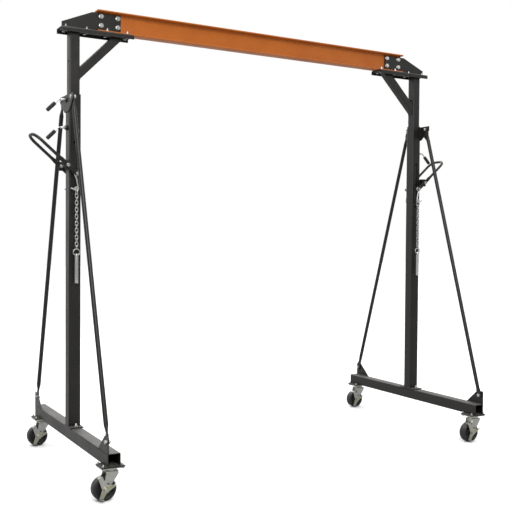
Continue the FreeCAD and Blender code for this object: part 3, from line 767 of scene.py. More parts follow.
def moulded_black(name, colour, peel, rough_low, rough_high, dust_amount):
    """Black polymer or rubber with a fine moulded grain."""
    material, tree, shader, vector = start_material(name)
    coat = use_group(tree, "Coat Texture", vector, (-600, 200), Peel_Scale=peel, Mottle_Scale=24.0)
    marks = use_group(tree, "Handling Marks", vector, (-600, -50), Scale=90.0, Amount=0.7)
    dust_and_sheen = use_group(tree, "Settled Dust", vector, (-600, -300), Scale=150.0, Amount=dust_amount)
    lighter = tuple(part * 1.9 for part in colour)
    mixed = blend(tree, coat.outputs["Mottle"], tuple(colour), lighter, (-200, 200))
    mixed = blend(tree, marks.outputs["Mask"], mixed, (0.075, 0.074, 0.072), (0, 100))
    mixed = blend(tree, dust_and_sheen.outputs["Mask"], mixed, (0.30, 0.29, 0.27), (200, 50))
    tree.links.new(mixed, shader.inputs["Base Color"])
    rough = spread(tree, coat.outputs["Mottle"], 0.0, 1.0, rough_low, rough_high, (-200, -150))
    tree.links.new(rough, shader.inputs["Roughness"])
    add_bump(tree, shader, coat.outputs["Height"], strength=0.4, distance=0.0003)
    return material


def floor_material():
    """Pale studio floor with a faint unevenness."""
    material, tree, shader, vector = start_material("studio_floor")
    coat = use_group(tree, "Coat Texture", vector, (-600, 200), Peel_Scale=30.0, Mottle_Scale=0.8)
    pale = tuple(colours().floor)
    colour = blend(tree, coat.outputs["Mottle"], pale, tuple(part * 0.985 for part in pale), (-200, 200))
    path = add_node(tree, "LightPath", (-200, 450))
    bounce = tuple(part * 0.45 for part in pale)
    colour = blend(tree, path.outputs["Is Camera Ray"], bounce, colour, (200, 200))
    tree.links.new(colour, shader.inputs["Base Color"])
    shader.inputs["Roughness"].default_value = 0.9
    shader.inputs["Specular IOR Level"].default_value = 0.1
    return material


FINISHES = {}


def finishes():
    """A finish for each of the record's material slots, and the rockers' yellow zinc; built once."""
    if not FINISHES:
        for build in (coat_texture_group, scuff_group, dust_and_sheen_group, plating_group):
            build()
        FINISHES["beam_paint"] = beam_enamel()
        FINISHES["frame_coat"] = powder_coat()
        FINISHES["zinc_plate"] = zinc(
            "zinc_plate_finish", colours().zinc, warm=(0.53, 0.53, 0.49), crystal=260.0, cloud=45.0)
        FINISHES["caster_zinc"] = zinc(
            "caster_zinc_finish", colours().caster, warm=(0.45, 0.44, 0.37), crystal=140.0, cloud=26.0)
        FINISHES["yellow_zinc"] = zinc(
            "yellow_zinc_finish", colours().rocker, warm=(0.40, 0.36, 0.20), crystal=120.0, cloud=22.0)
        FINISHES["wheel_black"] = moulded_black(
            "moulded_wheel", colours().wheel, peel=700.0, rough_low=0.42, rough_high=0.60, dust_amount=0.12)
        FINISHES["grip_rubber"] = moulded_black(
            "grip_rubber_finish", colours().grip, peel=1300.0, rough_low=0.60, rough_high=0.78,
            dust_amount=0.05)
    return FINISHES


# ---- bolts -------------------------------------------------------------------------------
def hexagon(name, flats, low, high, chamfer_low, chamfer_high):
    """Hexagonal prism along Z whose corners are turned down at one or both ends."""
    rest()
    corner = flats / math.sqrt(3)
    bpy.ops.mesh.primitive_cylinder_add(vertices=6, radius=corner, depth=high - low,
                                        location=(0, 0, (low + high) / 2))
    prism = named(name)
    face = flats * CHAMFER_CIRCLE
    drop = (corner - face) * math.tan(math.radians(30))
    wide = corner * 1.02
    lower = [(face, low), (corner, low + drop)] if chamfer_low else [(wide, low - 1 * MM)]
    upper = [(corner, high - drop), (face, high)] if chamfer_high else [(wide, high + 1 * MM)]
    tool = turned("chamfer_tool", (0, 0, 0), (0, 0, 1), lower + upper, 36)
    return combine(prism, tool, "INTERSECT")


def make_bolt(name, size, grip, washer=0.0, proud=THREAD_PROUD):
    """Bolt along +Z with its head below the origin and its nut above the grip.

    washer is the diameter of a washer under the head and under the nut, or 0 for none.  proud is
    how far the thread stands past the nut, as a share of the bolt's diameter.
    """
    head, nut, flats, thread = (share * size for share in (BOLT_HEAD, BOLT_NUT, BOLT_FLATS, THREAD_PITCH))
    pad = WASHER if washer else 0.0
    top = grip + pad + nut
    end = top + proud * size - pad
    radius = size / 2
    shank, root, tip, hole = (radius * share for share in (0.99, THREAD_ROOT, 0.72, 1.06))
    ridges = []
    level = top - thread
    while level + thread < end - thread:
        ridges += [(root, level), (radius, level + thread / 2)]
        level += thread
    profile = [(shank, -pad - head / 2), (shank, top - 2 * thread)] + ridges
    profile += [(root, end - thread), (tip, end)]
    parts = [turned("shank", (0, 0, 0), (0, 0, 1), profile, 20),
             hexagon("head", flats, -pad - head, -pad, True, False),
             hexagon("nut", flats, grip + pad, top, True, True)]
    rim = 0.3 * MM
    for base in ((-WASHER, grip) if washer else ()):
        edge = washer / 2
        outline = [(hole, base), (edge - rim, base), (edge, base + rim),
                   (edge, base + WASHER - rim), (edge - rim, base + WASHER), (hole, base + WASHER)]
        parts.append(turned("washer", (0, 0, 0), (0, 0, 1), outline, 32, bridge=True))
    bolt = joined(name, parts)
    shade(bolt, SMOOTH)
    return bolt


BOLTS = {}


def bolts_of(node, sizes_by_axis, washer=0.0, washer_axis=None):
    """A detailed bolt for every bolt of a CAD node; bolts of one size and grip are copies.

    The diameters are listed by the axis that the bolts run along.  Solids along other axes, or too
    wide for a bolt, are passed over.  Bolts along Z show more thread past their nuts.
    """
    made = []
    for low, high, head in solids(node):
        extent = high - low
        axis = max(range(3), key=lambda k: extent[k])
        girth = min(extent[k] for k in range(3) if k != axis)
        diameter = sizes_by_axis.get(axis, 0.0)
        if girth > BOLT_GIRTH * diameter:
            continue
        disc = washer if axis == washer_axis else 0.0
        pad = WASHER if disc else 0.0
        grip = extent[axis] - BOLT_ENDS * diameter - pad
        proud = LONG_THREAD_PROUD if axis == 2 else THREAD_PROUD
        key = (round(diameter / SAME_PLACE), round(grip / SAME_PLACE), disc > 0, proud)
        if key not in BOLTS:
            BOLTS[key] = make_bolt("bolt_%d_%d" % key[:2], diameter, grip, disc, proud)
            BOLTS[key].hide_render = True
        direction = Vector([0.0, 0.0, 0.0])
        direction[axis] = -head
        seat = (low + high) / 2
        outer = low[axis] if head < 0 else high[axis]
        seat[axis] = outer + direction[axis] * (BOLT_HEAD * diameter + pad)
        spin = Vector((0, 0, 1)).rotation_difference(direction).to_matrix().to_4x4()
        made.append(copy_of(BOLTS[key], "bolt_copy", moved(seat) @ spin))
        made[-1].hide_render = False
    return made


def clear_bolt_masters():
    """Remove the bolts that the others were copied from."""
    for master in BOLTS.values():
        bpy.data.objects.remove(master)
    BOLTS.clear()


# ---- operators: one for each piece or group of like pieces --------------------------------
class GANTRY_OT_frame_finish(bpy.types.Operator):
    """Coat the welded frame parts and round their cut edges"""

    bl_idname = "gantry.frame_finish"
    bl_label = "Welded frame parts"

    def execute(self, context):
        coated = ["head_plates"]
        for side in SIDES:
            coated += [side + "_" + part for part in (
                "saddle", "gusset", "inner_post", "knee_brace", "base_tube", "base_lugs", "foot_plate",
                "outer_post", "brace_bracket", "outboard_fittings", "front_brace", "rear_brace")]
        plated = [side + "_" + end + "_brake" for side in SIDES for end in ENDS]
        for names, finish in ((coated, "frame_coat"), (plated, "caster_zinc")):
            for name in names:
                piece = frame["nodes"][name]
                piece.data.materials.clear()
                piece.data.materials.append(finishes()[finish])
                weld = piece.modifiers.new("Merge corners", "WELD")
                weld.merge_threshold = SAME_PLACE
                flat = piece.modifiers.new("Flat faces", "DECIMATE")
                flat.decimate_type = "DISSOLVE"
                flat.angle_limit = math.radians(0.5)
                bevel = piece.modifiers.new("Rounded edges", "BEVEL")
                bevel.width = sizes().edge_round
                bevel.segments = 2
                bevel.limit_method = "ANGLE"
                bevel.angle_limit = math.radians(50)
                bevel.harden_normals = True
        return {"FINISHED"}


class GANTRY_OT_beam(bpy.types.Operator):
    """Roll the I-beam: a web with flanges drawn out of it and filleted roots"""

    bl_idname = "gantry.beam"
    bl_label = "I-beam"

    def execute(self, context):
        low, high = BEAM_LOW, BEAM_HIGH
        half = high.y
        beam = block("beam", (low.x, -WEB / 2, low.z), (high.x, WEB / 2, high.z))
        edit(beam)
        roots = (low.z + FLANGE, high.z - FLANGE)
        for level in roots:
            pick_all()
            bpy.ops.mesh.bisect(plane_co=(0, 0, level), plane_no=(0, 0, 1))
        for side in (-1, 1):
            pick(lambda face: face.normal.y * side > FACING and not roots[0] <= middle(face).z <= roots[1])
            extrude((0, side * (half - WEB / 2), 0))

        def runs_along(edge, y, levels):
            """Whether an edge runs the beam's length, y from its middle and at one of the levels."""
            place = middle(edge)
            return (abs(abs(place.y) - y) < SAME_PLACE and edge.calc_length() > 1
                    and min(abs(place.z - level) for level in levels) < SAME_PLACE)

        bpy.ops.mesh.select_mode(type="EDGE")
        for y, levels, radius, segments in ((WEB / 2, roots, ROOT_RADIUS, 5), (half, roots, TOE_RADIUS, 4),
                                            (half, (low.z, high.z), BACK_RADIUS, 2)):
            pick(lambda edge: runs_along(edge, y, levels), "edges")
            bpy.ops.mesh.bevel(offset=radius, segments=segments, affect="EDGES")
        leave_edit()
        soften(beam, 0.5 * MM, segments=1, angle=60)
        settle(beam, "lift_frame", "beam_paint", "i_beam")
        return {"FINISHED"}


class GANTRY_OT_bolts(bpy.types.Operator):
    """Fit the web, saddle, brace, foot and pivot bolts"""

    bl_idname = "gantry.bolts"
    bl_label = "Bolts"

    def execute(self, context):
        top = bolts_of("beam_bolts", {1: WEB_BOLT, 2: SADDLE_BOLT}, washer=WASHER_DISC, washer_axis=1)
        settle(joined("web_and_saddle_bolts", top), "lift_frame", "zinc_plate", "beam_bolts")
        for side in SIDES:
            made = bolts_of(side + "_frame_bolts", dict.fromkeys(range(3), FRAME_BOLT))
            settle(joined(side + "_brace_and_foot_bolts", made), side + "_frame", "zinc_plate",
                   side + "_frame_bolts")
        return {"FINISHED"}


class GANTRY_OT_welds(bpy.types.Operator):
    """Lay weld beads along the seams of the end frames and of the beam supports"""

    bl_idname = "gantry.welds"
    bl_label = "Weld beads"

    STITCH = 40 * MM
    STITCH_PITCH = 92 * MM
    STITCH_START = 10 * MM
    BEAM_CLEARANCE = 4 * MM

    def make_ripple(self):
        """One ripple of a bead: a flattened bead across the X axis."""
        rest()
        bead = sizes().bead
        bpy.ops.mesh.primitive_uv_sphere_add(segments=8, ring_count=5, radius=bead,
                                             rotation=(0, math.pi / 2, 0))
        ripple = named("ripple")
        edit(ripple, "VERT")
        pick_all()
        resize((0.85, 1.0, 1.0), (0, 0, 0))
        pick(lambda vert: vert.co.x > bead * 0.4, "verts")
        resize((1.0, 0.8, 0.8), (0, 0, 0))
        leave_edit()
        shade(ripple)
        return ripple

    def run(self, ripple, start, end):
        """Straight bead from one point to another."""
        start, end = Vector(start), Vector(end)
        along = (end - start).normalized()
        turn = Vector((1, 0, 0)).rotation_difference(along).to_matrix().to_4x4()
        bead = copy_of(ripple, "bead", moved(start) @ turn)
        activate(bead)
        bpy.ops.object.modifier_add(type="ARRAY")
        row = bead.modifiers[-1]
        row.use_relative_offset = False
        row.use_constant_offset = True
        row.constant_offset_displace = along * sizes().bead_pitch
        row.count = max(2, int((end - start).length / sizes().bead_pitch) + 1)
        bpy.ops.object.modifier_apply(modifier=row.name)
        return bead

    def loop(self, ripple, corners):
        """Straight beads round a closed outline."""
        return [self.run(ripple, start, end) for start, end in zip(corners, corners[1:] + corners[:1])]

    def ring(self, ripple, centre, radius):
        """Bead round a boss whose axis is X."""
        count = round(2 * math.pi * radius / sizes().bead_pitch)
        made = []
        for k in range(count):
            angle = 2 * math.pi * k / count
            turn = Matrix.Rotation(angle, 4, "X")
            upright = Matrix.Rotation(math.pi / 2, 4, "Z")
            made.append(copy_of(ripple, "bead", moved(centre) @ turn @ moved((0, 0, radius)) @ upright))
        return made

    def execute(self, context):
        ripple = self.make_ripple()
        _, foot_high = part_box("left_foot_plate")
        bracket_low, bracket_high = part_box("left_brace_bracket")
        lugs = solids("left_base_lugs")
        fittings = sorted(solids("left_outboard_fittings"), key=lambda solid: solid[1].z)
        bracket = max(fittings, key=lambda solid: (solid[1] - solid[0]).y)
        bosses = [solid for solid in fittings if solid is not bracket]
        half = (POST_HIGH.x - POST_LOW.x) / 2
        left, right = POST_X - half, POST_X + half
        level = foot_high.z
        beads = self.loop(ripple, [(left, -half, level), (right, -half, level),
                                   (right, half, level), (left, half, level)])
        for y in (-half, half):
            beads.append(self.run(ripple, (left, y, bracket_low.z), (left, y, bracket_high.z)))
            beads.append(self.run(ripple, (left, y, bracket[0].z), (left, y, bracket[1].z)))
        for low, high, _ in lugs:
            if low.z > BASE_HIGH.z - 1 * MM:
                for x in (low.x + 1.5 * MM, high.x):
                    beads.append(self.run(ripple, (x, low.y, low.z), (x, high.y, low.z)))
            else:
                for x in (BASE_LOW.x, BASE_HIGH.x):
                    beads.append(self.run(ripple, (x, low.y, high.z), (x, high.y, high.z)))
        for low, high, _ in bosses:
            face = bracket_low.x if low.z > bracket_low.z else left
            centre = (face, 0, (low.z + high.z) / 2)
            beads += self.ring(ripple, centre, (high.z - low.z) / 2)
        settle_pair(joined("bead", beads), "frame_welds", "frame", "frame_coat")

        knee_low, knee_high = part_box("left_knee_brace")
        gusset_low, gusset_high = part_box("left_gusset")
        plate = sorted(solids("head_plates"), key=lambda solid: solid[0].x)[0]
        half = (INNER_HIGH.x - INNER_LOW.x) / 2
        knee = knee_high.y
        thick = knee * 2 * math.sqrt(2)
        face = INNER_HIGH.x
        top = INNER_HIGH.z
        beads = self.loop(ripple, [(INNER_LOW.x, -half, top), (face, -half, top),
                                   (face, half, top), (INNER_LOW.x, half, top)])
        beads += self.loop(ripple, [(face, -knee, knee_low.z), (face, knee, knee_low.z),
                                    (face, knee, knee_low.z + thick), (face, -knee, knee_low.z + thick)])
        beads += self.loop(ripple, [(knee_high.x, -knee, top), (knee_high.x, knee, top),
                                    (knee_high.x - thick, knee, top), (knee_high.x - thick, -knee, top)])
        inner_end = BEAM_LOW.x - self.BEAM_CLEARANCE
        for y in (gusset_low.y, gusset_high.y):
            beads.append(self.run(ripple, (gusset_low.x, y, gusset_low.z), (inner_end, y, gusset_low.z)))
        plate_low, plate_high, _ = plate
        for y in (plate_low.y, plate_high.y):
            x = plate_low.x + self.STITCH_START
            while x + self.STITCH < plate_high.x:
                beads.append(self.run(ripple, (x, y, plate_high.z), (x + self.STITCH, y, plate_high.z)))
                x += self.STITCH_PITCH
        supports = joined("bead", beads)
        twin = copy_of(supports, "right_support_welds", MIRROR_X)
        supports.name = supports.data.name = "left_support_welds"
        for piece in (supports, twin):
            settle(piece, "lift_frame", "frame_coat")
        bpy.data.objects.remove(ripple)
        return {"FINISHED"}


class GANTRY_OT_lock_pins(bpy.types.Operator):
    """Bend the lock pins' handles and turn their ribbed grips"""

    bl_idname = "gantry.lock_pins"
    bl_label = "Lock pins and grips"

    SHANK_REACH = 76 * MM
    HANDLE_REACH = 84 * MM
    HANDLE_LENGTH = 92 * MM
    GRIP_START = 32 * MM
    GRIP_LENGTH = 66 * MM
    GRIP_RADIUS = 11.5 * MM
    GROOVE_RADIUS = 10.2 * MM

    def execute(self, context):
        for level in ("lower", "upper"):
            _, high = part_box("left_%s_lock_pin" % level)
            z = high.z - LOCK_RADIUS
            shank_end = POST_X - self.SHANK_REACH
            corner = Vector((POST_X - self.HANDLE_REACH, 0, z))
            down = Vector((-1, 0, -1)).normalized()
            shank = turned("shank", (shank_end, 0, z), (1, 0, 0),
                           [(LOCK_RADIUS - 1.5 * MM, 0), (LOCK_RADIUS, 1.5 * MM),
                            (LOCK_RADIUS, high.x - shank_end - 2.5 * MM),
                            (LOCK_RADIUS - 2.5 * MM, high.x - shank_end)], 28)
            soften(shank, 0.3 * MM, segments=1, angle=30)
            line = [(shank_end + 4 * MM, 0, z), corner, corner + down * self.HANDLE_LENGTH]
            handle = bent_bar("handle", line, [HANDLE_BEND], HANDLE_RADIUS)
            soften(handle, 0.6 * MM, angle=60)
            settle_pair(joined("lock", [shank, handle]), level + "_lock_rod", level + "_lock",
                        "zinc_plate", level + "_lock_pin")
            settle_pair(self.grip(corner, down), level + "_lock_sleeve", level + "_lock",
                        "grip_rubber", level + "_lock_grip")
        return {"FINISHED"}

    def grip(self, corner, down):
        """Dipped sleeve with finger ribs, a rolled mouth and a domed end."""
        length, outside, groove = self.GRIP_LENGTH, self.GRIP_RADIUS, self.GROOVE_RADIUS
        profile = [(4.2 * MM, 0.6 * MM), (6 * MM, 0), (9.6 * MM, 0.3 * MM), (10.8 * MM, 1.4 * MM),
                   (10.8 * MM, 3.6 * MM), (9.6 * MM, 4.6 * MM)]
        first, last = 7 * MM, 58 * MM
        pitch = (last - first) / sizes().grip_ribs
        for k in range(sizes().grip_ribs):
            start = first + k * pitch
            profile += [(groove, start), (outside, start + 0.3 * pitch), (outside, start + 0.7 * pitch)]
        profile += [(groove, last), (outside - 0.4 * MM, last + 1.5 * MM),
                    (outside - 0.4 * MM, length - 3 * MM), (9.8 * MM, length - 0.9 * MM), (6.5 * MM, length)]
        turn = Vector((0, 0, 1)).rotation_difference(down).to_matrix().to_4x4()
        sleeve = turned("sleeve", (0, 0, 0), (0, 0, 1), profile, 32)
        soften(sleeve, 0.35 * MM, angle=25)
        sleeve.data.transform(moved(corner + down * self.GRIP_START) @ turn)
        return sleeve


class GANTRY_OT_levers(bpy.types.Operator):
    """Forge the lever: round bar bent to a U, with its arms hammered flat at the pivot"""

    bl_idname = "gantry.levers"
    bl_label = "Lifting levers"

    PIVOT_HOLE = 6.2 * MM
    TIP_HOLE = 5.3 * MM

    def execute(self, context):
        reach, arm, tip = 252 * MM, 70 * MM, 71 * MM
        nose, flat = 13 * MM, 3 * MM
        here = Vector((-tip - nose * 0.98, -arm, 0))
        bar = hoop("lever_bar", here, (1, 0, 0), LEVER_BAR, sizes().round_steps)
        thick, width = flat * 0.7, nose * 0.2
        resize((1, thick / LEVER_BAR, width / LEVER_BAR), here)
        stations = [(-tip - nose * 0.8, flat, nose * 0.6), (-tip - nose * 0.45, flat, nose * 0.893),
                    (-tip, flat, nose), (44 * MM, flat, nose), (56 * MM, 4.4 * MM, 11.6 * MM),
                    (68 * MM, 7.2 * MM, 9.8 * MM), (78 * MM, LEVER_BAR, LEVER_BAR)]
        for x, next_thick, next_width in stations:
            extrude((x - here.x, 0, 0))
            here = Vector((x, -arm, 0))
            resize((1, next_thick / thick, next_width / width), here)
            thick, width = next_thick, next_width
        follow(bar_moves([here, (reach, -arm, 0), (reach, 0, 0)], [LEVER_BEND]), math.radians(7))
        leave_edit()
        lever = joined("lever", [bar, copy_of(bar, "lever_far_half", MIRROR_Y)])
        edit(lever, "EDGE")
        close_up()
        tilt = Matrix.Rotation(math.radians(180 + LEVER_ANGLE), 4, "Y")
        lever.data.transform(moved(LEVER_PIVOT) @ tilt)
        for place, radius in ((LEVER_PIVOT, self.PIVOT_HOLE), (HOOK_PIVOT, self.TIP_HOLE)):
            drill(lever, place - Vector((0, 0.1, 0)), (0, 1, 0), radius, 0.2, 28)
        soften(lever, 0.5 * MM, segments=1, angle=50)
        settle_pair(lever, "lever_handle", "lever", "frame_coat", "lever")
        return {"FINISHED"}


class GANTRY_OT_hooks(bpy.types.Operator):
    """Form the open hooks, each with its eye round the tip bolt and a web for the chain's ring"""

    bl_idname = "gantry.hooks"
    bl_label = "Lift hooks"

    # millimetres in X and Z from the tip bolt
    LINE = ((-10.2, -7.0), (0.0, -30.0), (9.5, -84.0), (6.4, -99.0), (-33.0, -84.0))
    BENDS = (12, 30, 12, 4)
    WEB_OUTLINE = ((7.5, -66.0), (-20.0, -88.0), (-16.0, -92.0), (6.0, -101.0), (10.0, -84.0))
    EYE_SWEEP = math.radians(318)

    def execute(self, context):
        across = Vector((0, 1, 0))
        eye = Vector((-HOOK_EYE, 0, 0))
        turn = Matrix.Rotation(self.EYE_SWEEP, 3, "Y")
        made = []
        for side in (-1, 1):
            centre = HOOK_PIVOT + across * side * HOOK_OFFSET
            line = [centre + eye] + [centre + Vector((x, 0, z)) * MM for x, z in self.LINE]
            moves = [("turn", centre, -across, self.EYE_SWEEP)]
            moves += bar_moves(line, [bend * MM for bend in self.BENDS])
            hook = swept("hook", centre + turn @ eye, turn @ Vector((0, 0, -1)), HOOK_BAR, moves)
            soften(hook, 1.6 * MM, segments=3, angle=60)
            made += [hook, self.web(centre)]
        made += bolts_of("left_lift_hooks", {1: SADDLE_BOLT})
        settle_pair(joined("hooks", made), "lifting_hooks", "hooks", "zinc_plate", "lift_hooks")
        return {"FINISHED"}

    def web(self, centre):
        """Forged web in the hook's corner, drilled for the ring."""
        rest()
        half = 2 * MM
        corners = [centre + Vector((x * MM, -half, z * MM)) for x, z in self.WEB_OUTLINE]
        mesh = bpy.data.meshes.new("web")
        mesh.from_pydata(corners, [], [list(range(len(corners)))])
        web = bpy.data.objects.new("web", mesh)
        bpy.context.collection.objects.link(web)
        edit(web)
        pick_all()
        extrude((0, 2 * half, 0))
        face_outwards()
        leave_edit()
        drill(web, centre + Vector((0, -0.02, -88 * MM)), (0, 1, 0), 4 * MM, 0.04)
        return soften(web, 0.6 * MM, angle=50)


def loop_link(name, centre, across, half_width, half_length):
    """Closed oval link of round wire, its long axis vertical and swollen where its ends are welded.

    A link that is as long as it is wide is a ring, and is drawn in finer steps.
    """
    centre, across = Vector(centre), Vector(across)
    up = Vector((0, 0, 1))
    straight = half_length - half_width
    oval = straight > MERGE
    start = centre + across * half_width
    piece = hoop(name, start, up, LINK_WIRE, WIRE_STEPS)
    turns = [("turn", centre + up * offset, up.cross(-across), math.pi) for offset in (straight, -straight)]
    moves = turns
    if oval:
        moves = [("run", up * straight), turns[0], ("run", -up * 2 * straight), turns[1],
                 ("run", up * straight)]
    follow(moves, LINK_STEP if oval else RING_STEP)
    bpy.ops.mesh.select_mode(type="VERT")
    pick_all()
    bpy.ops.mesh.remove_doubles(threshold=MERGE)
    pick(lambda vert: abs((vert.co - start).dot(up)) < MERGE and (vert.co - start).length < LINK_WIRE * 1.2,
         "verts")
    resize((WELD_SWELLING, WELD_SWELLING, WELD_SWELLING), start)
    face_outwards()
    leave_edit()
    shade(piece)
    return piece


class GANTRY_OT_chains(bpy.types.Operator):
    """Link the ring and the welded chain below each near hook"""

    bl_idname = "gantry.chains"
    bl_label = "Chains"

    def execute(self, context):
        parts = sorted(solids("left_chain"), key=lambda solid: -solid[1].z)
        low, high, _ = parts[0]
        ring_radius = (high.z - low.z) / 2 - LINK_WIRE
        ring = loop_link("ring", (low + high) / 2, (0, 1, 0), ring_radius, ring_radius)
        made = [ring]
        masters = {}
        for low, high, _ in parts[1:]:
            size = high - low
            wide = size.x > size.y
            if wide not in masters:
                across = (1, 0, 0) if wide else (0, 1, 0)
                masters[wide] = loop_link("link", (0, 0, 0), across, LINK_HALF_WIDTH, size.z / 2 - LINK_WIRE)
            made.append(copy_of(masters[wide], "link_copy", moved((low + high) / 2)))
        chain = joined("chain", made)
        for master in masters.values():
            bpy.data.objects.remove(master)
        settle_pair(chain, "welded_chain", "chain", "zinc_plate", "chain")
        return {"FINISHED"}


class GANTRY_OT_lift_pins(bpy.types.Operator):
    """Turn the lift pin, drill it and hang it on its ring"""

    bl_idname = "gantry.lift_pins"
    bl_label = "Lift pins"

    def execute(self, context):
        parts = sorted(solids("left_lift_pin"), key=lambda solid: (solid[1] - solid[0]).z)
        (ring_low, ring_high, _), (low, high, _) = parts
        radius = (high.x - low.x) / 2
        length = high.z - low.z
        base = ((low.x + high.x) / 2, (low.y + high.y) / 2, low.z)
        groove = 0.35 * MM
        profile = [(radius - 2 * MM, 0), (radius, 2 * MM), (radius, 16 * MM), (radius - groove, 16.6 * MM),
                   (radius - groove, 18.4 * MM), (radius, 19 * MM), (radius, length - 24 * MM),
                   (radius - groove, length - 23.4 * MM), (radius - groove, length - 21.6 * MM),
                   (radius, length - 21 * MM), (radius, length - 2 * MM), (radius - 2 * MM, length)]
        pin = turned("pin", base, (0, 0, 1), profile, 36)
        hole_z = ring_low.z + LINK_WIRE + 1.4 * MM
        drill(pin, (base[0] - 0.03, base[1], hole_z), (1, 0, 0), 4.5 * MM, 0.06)
        soften(pin, 0.3 * MM, segments=1, angle=35)
        ring_radius = (ring_high.z - ring_low.z) / 2 - LINK_WIRE
        ring = loop_link("ring", (ring_low + ring_high) / 2, (1, 0, 0), ring_radius, ring_radius)
        settle_pair(joined("pin", [pin, ring]), "lifting_pin", "lift_pin", "zinc_plate", "lift_pin")
        return {"FINISHED"}


class GANTRY_OT_caster_plates(bpy.types.Operator):
    """Press the casters' top plates with their races, and bolt them to the pads"""

    bl_idname = "gantry.caster_plates"
    bl_label = "Caster plates"

    def execute(self, context):
        for side in SIDES:
            node = side + "_caster_plates"
            made = bolts_of(node, {2: PLATE_BOLT})
            plates = [solid for solid in solids(node) if (solid[1] - solid[0]).x > 50 * MM]
            for low, high, _ in plates:
                made += self.plate(low, high)
            settle(joined(side + "_top_plates", made), side + "_frame", "caster_zinc", node)
        return {"FINISHED"}

    THICKNESS = 5 * MM

    def plate(self, low, high):
        """Top plate, upper race and kingpin of the caster between two corners."""
        centre = (low + high) / 2
        under = high.z - self.THICKNESS
        sheet = block("plate", (low.x, low.y, under), high)
        edit(sheet, "EDGE")
        pick(lambda edge: abs((edge.verts[0].co - edge.verts[1].co).z) > 1 * MM, "edges")
        bpy.ops.mesh.bevel(offset=9 * MM, segments=5, affect="EDGES")
        leave_edit()
        soften(sheet, 0.7 * MM, angle=50)
        base = (centre.x, centre.y, 0)
        race = turned("race", base, (0, 0, 1),
                      [(20 * MM, under + 0.5 * MM), (27 * MM, under + 0.5 * MM), (27 * MM, under - 1.8 * MM),
                       (25.5 * MM, under - 3 * MM), (20 * MM, under - 3 * MM)], 48)
        soften(race, 0.5 * MM)
        pin = turned("kingpin", base, (0, 0, 1),
                     [(6.5 * MM, under), (6.5 * MM, low.z + 7 * MM), (12.5 * MM, low.z + 7 * MM),
                      (13 * MM, low.z + 6 * MM), (13 * MM, low.z + 3 * MM), (10.5 * MM, low.z + 0.8 * MM),
                      (5 * MM, low.z)], 32)
        soften(pin, 0.3 * MM, segments=1, angle=40)
        return [sheet, race, pin]


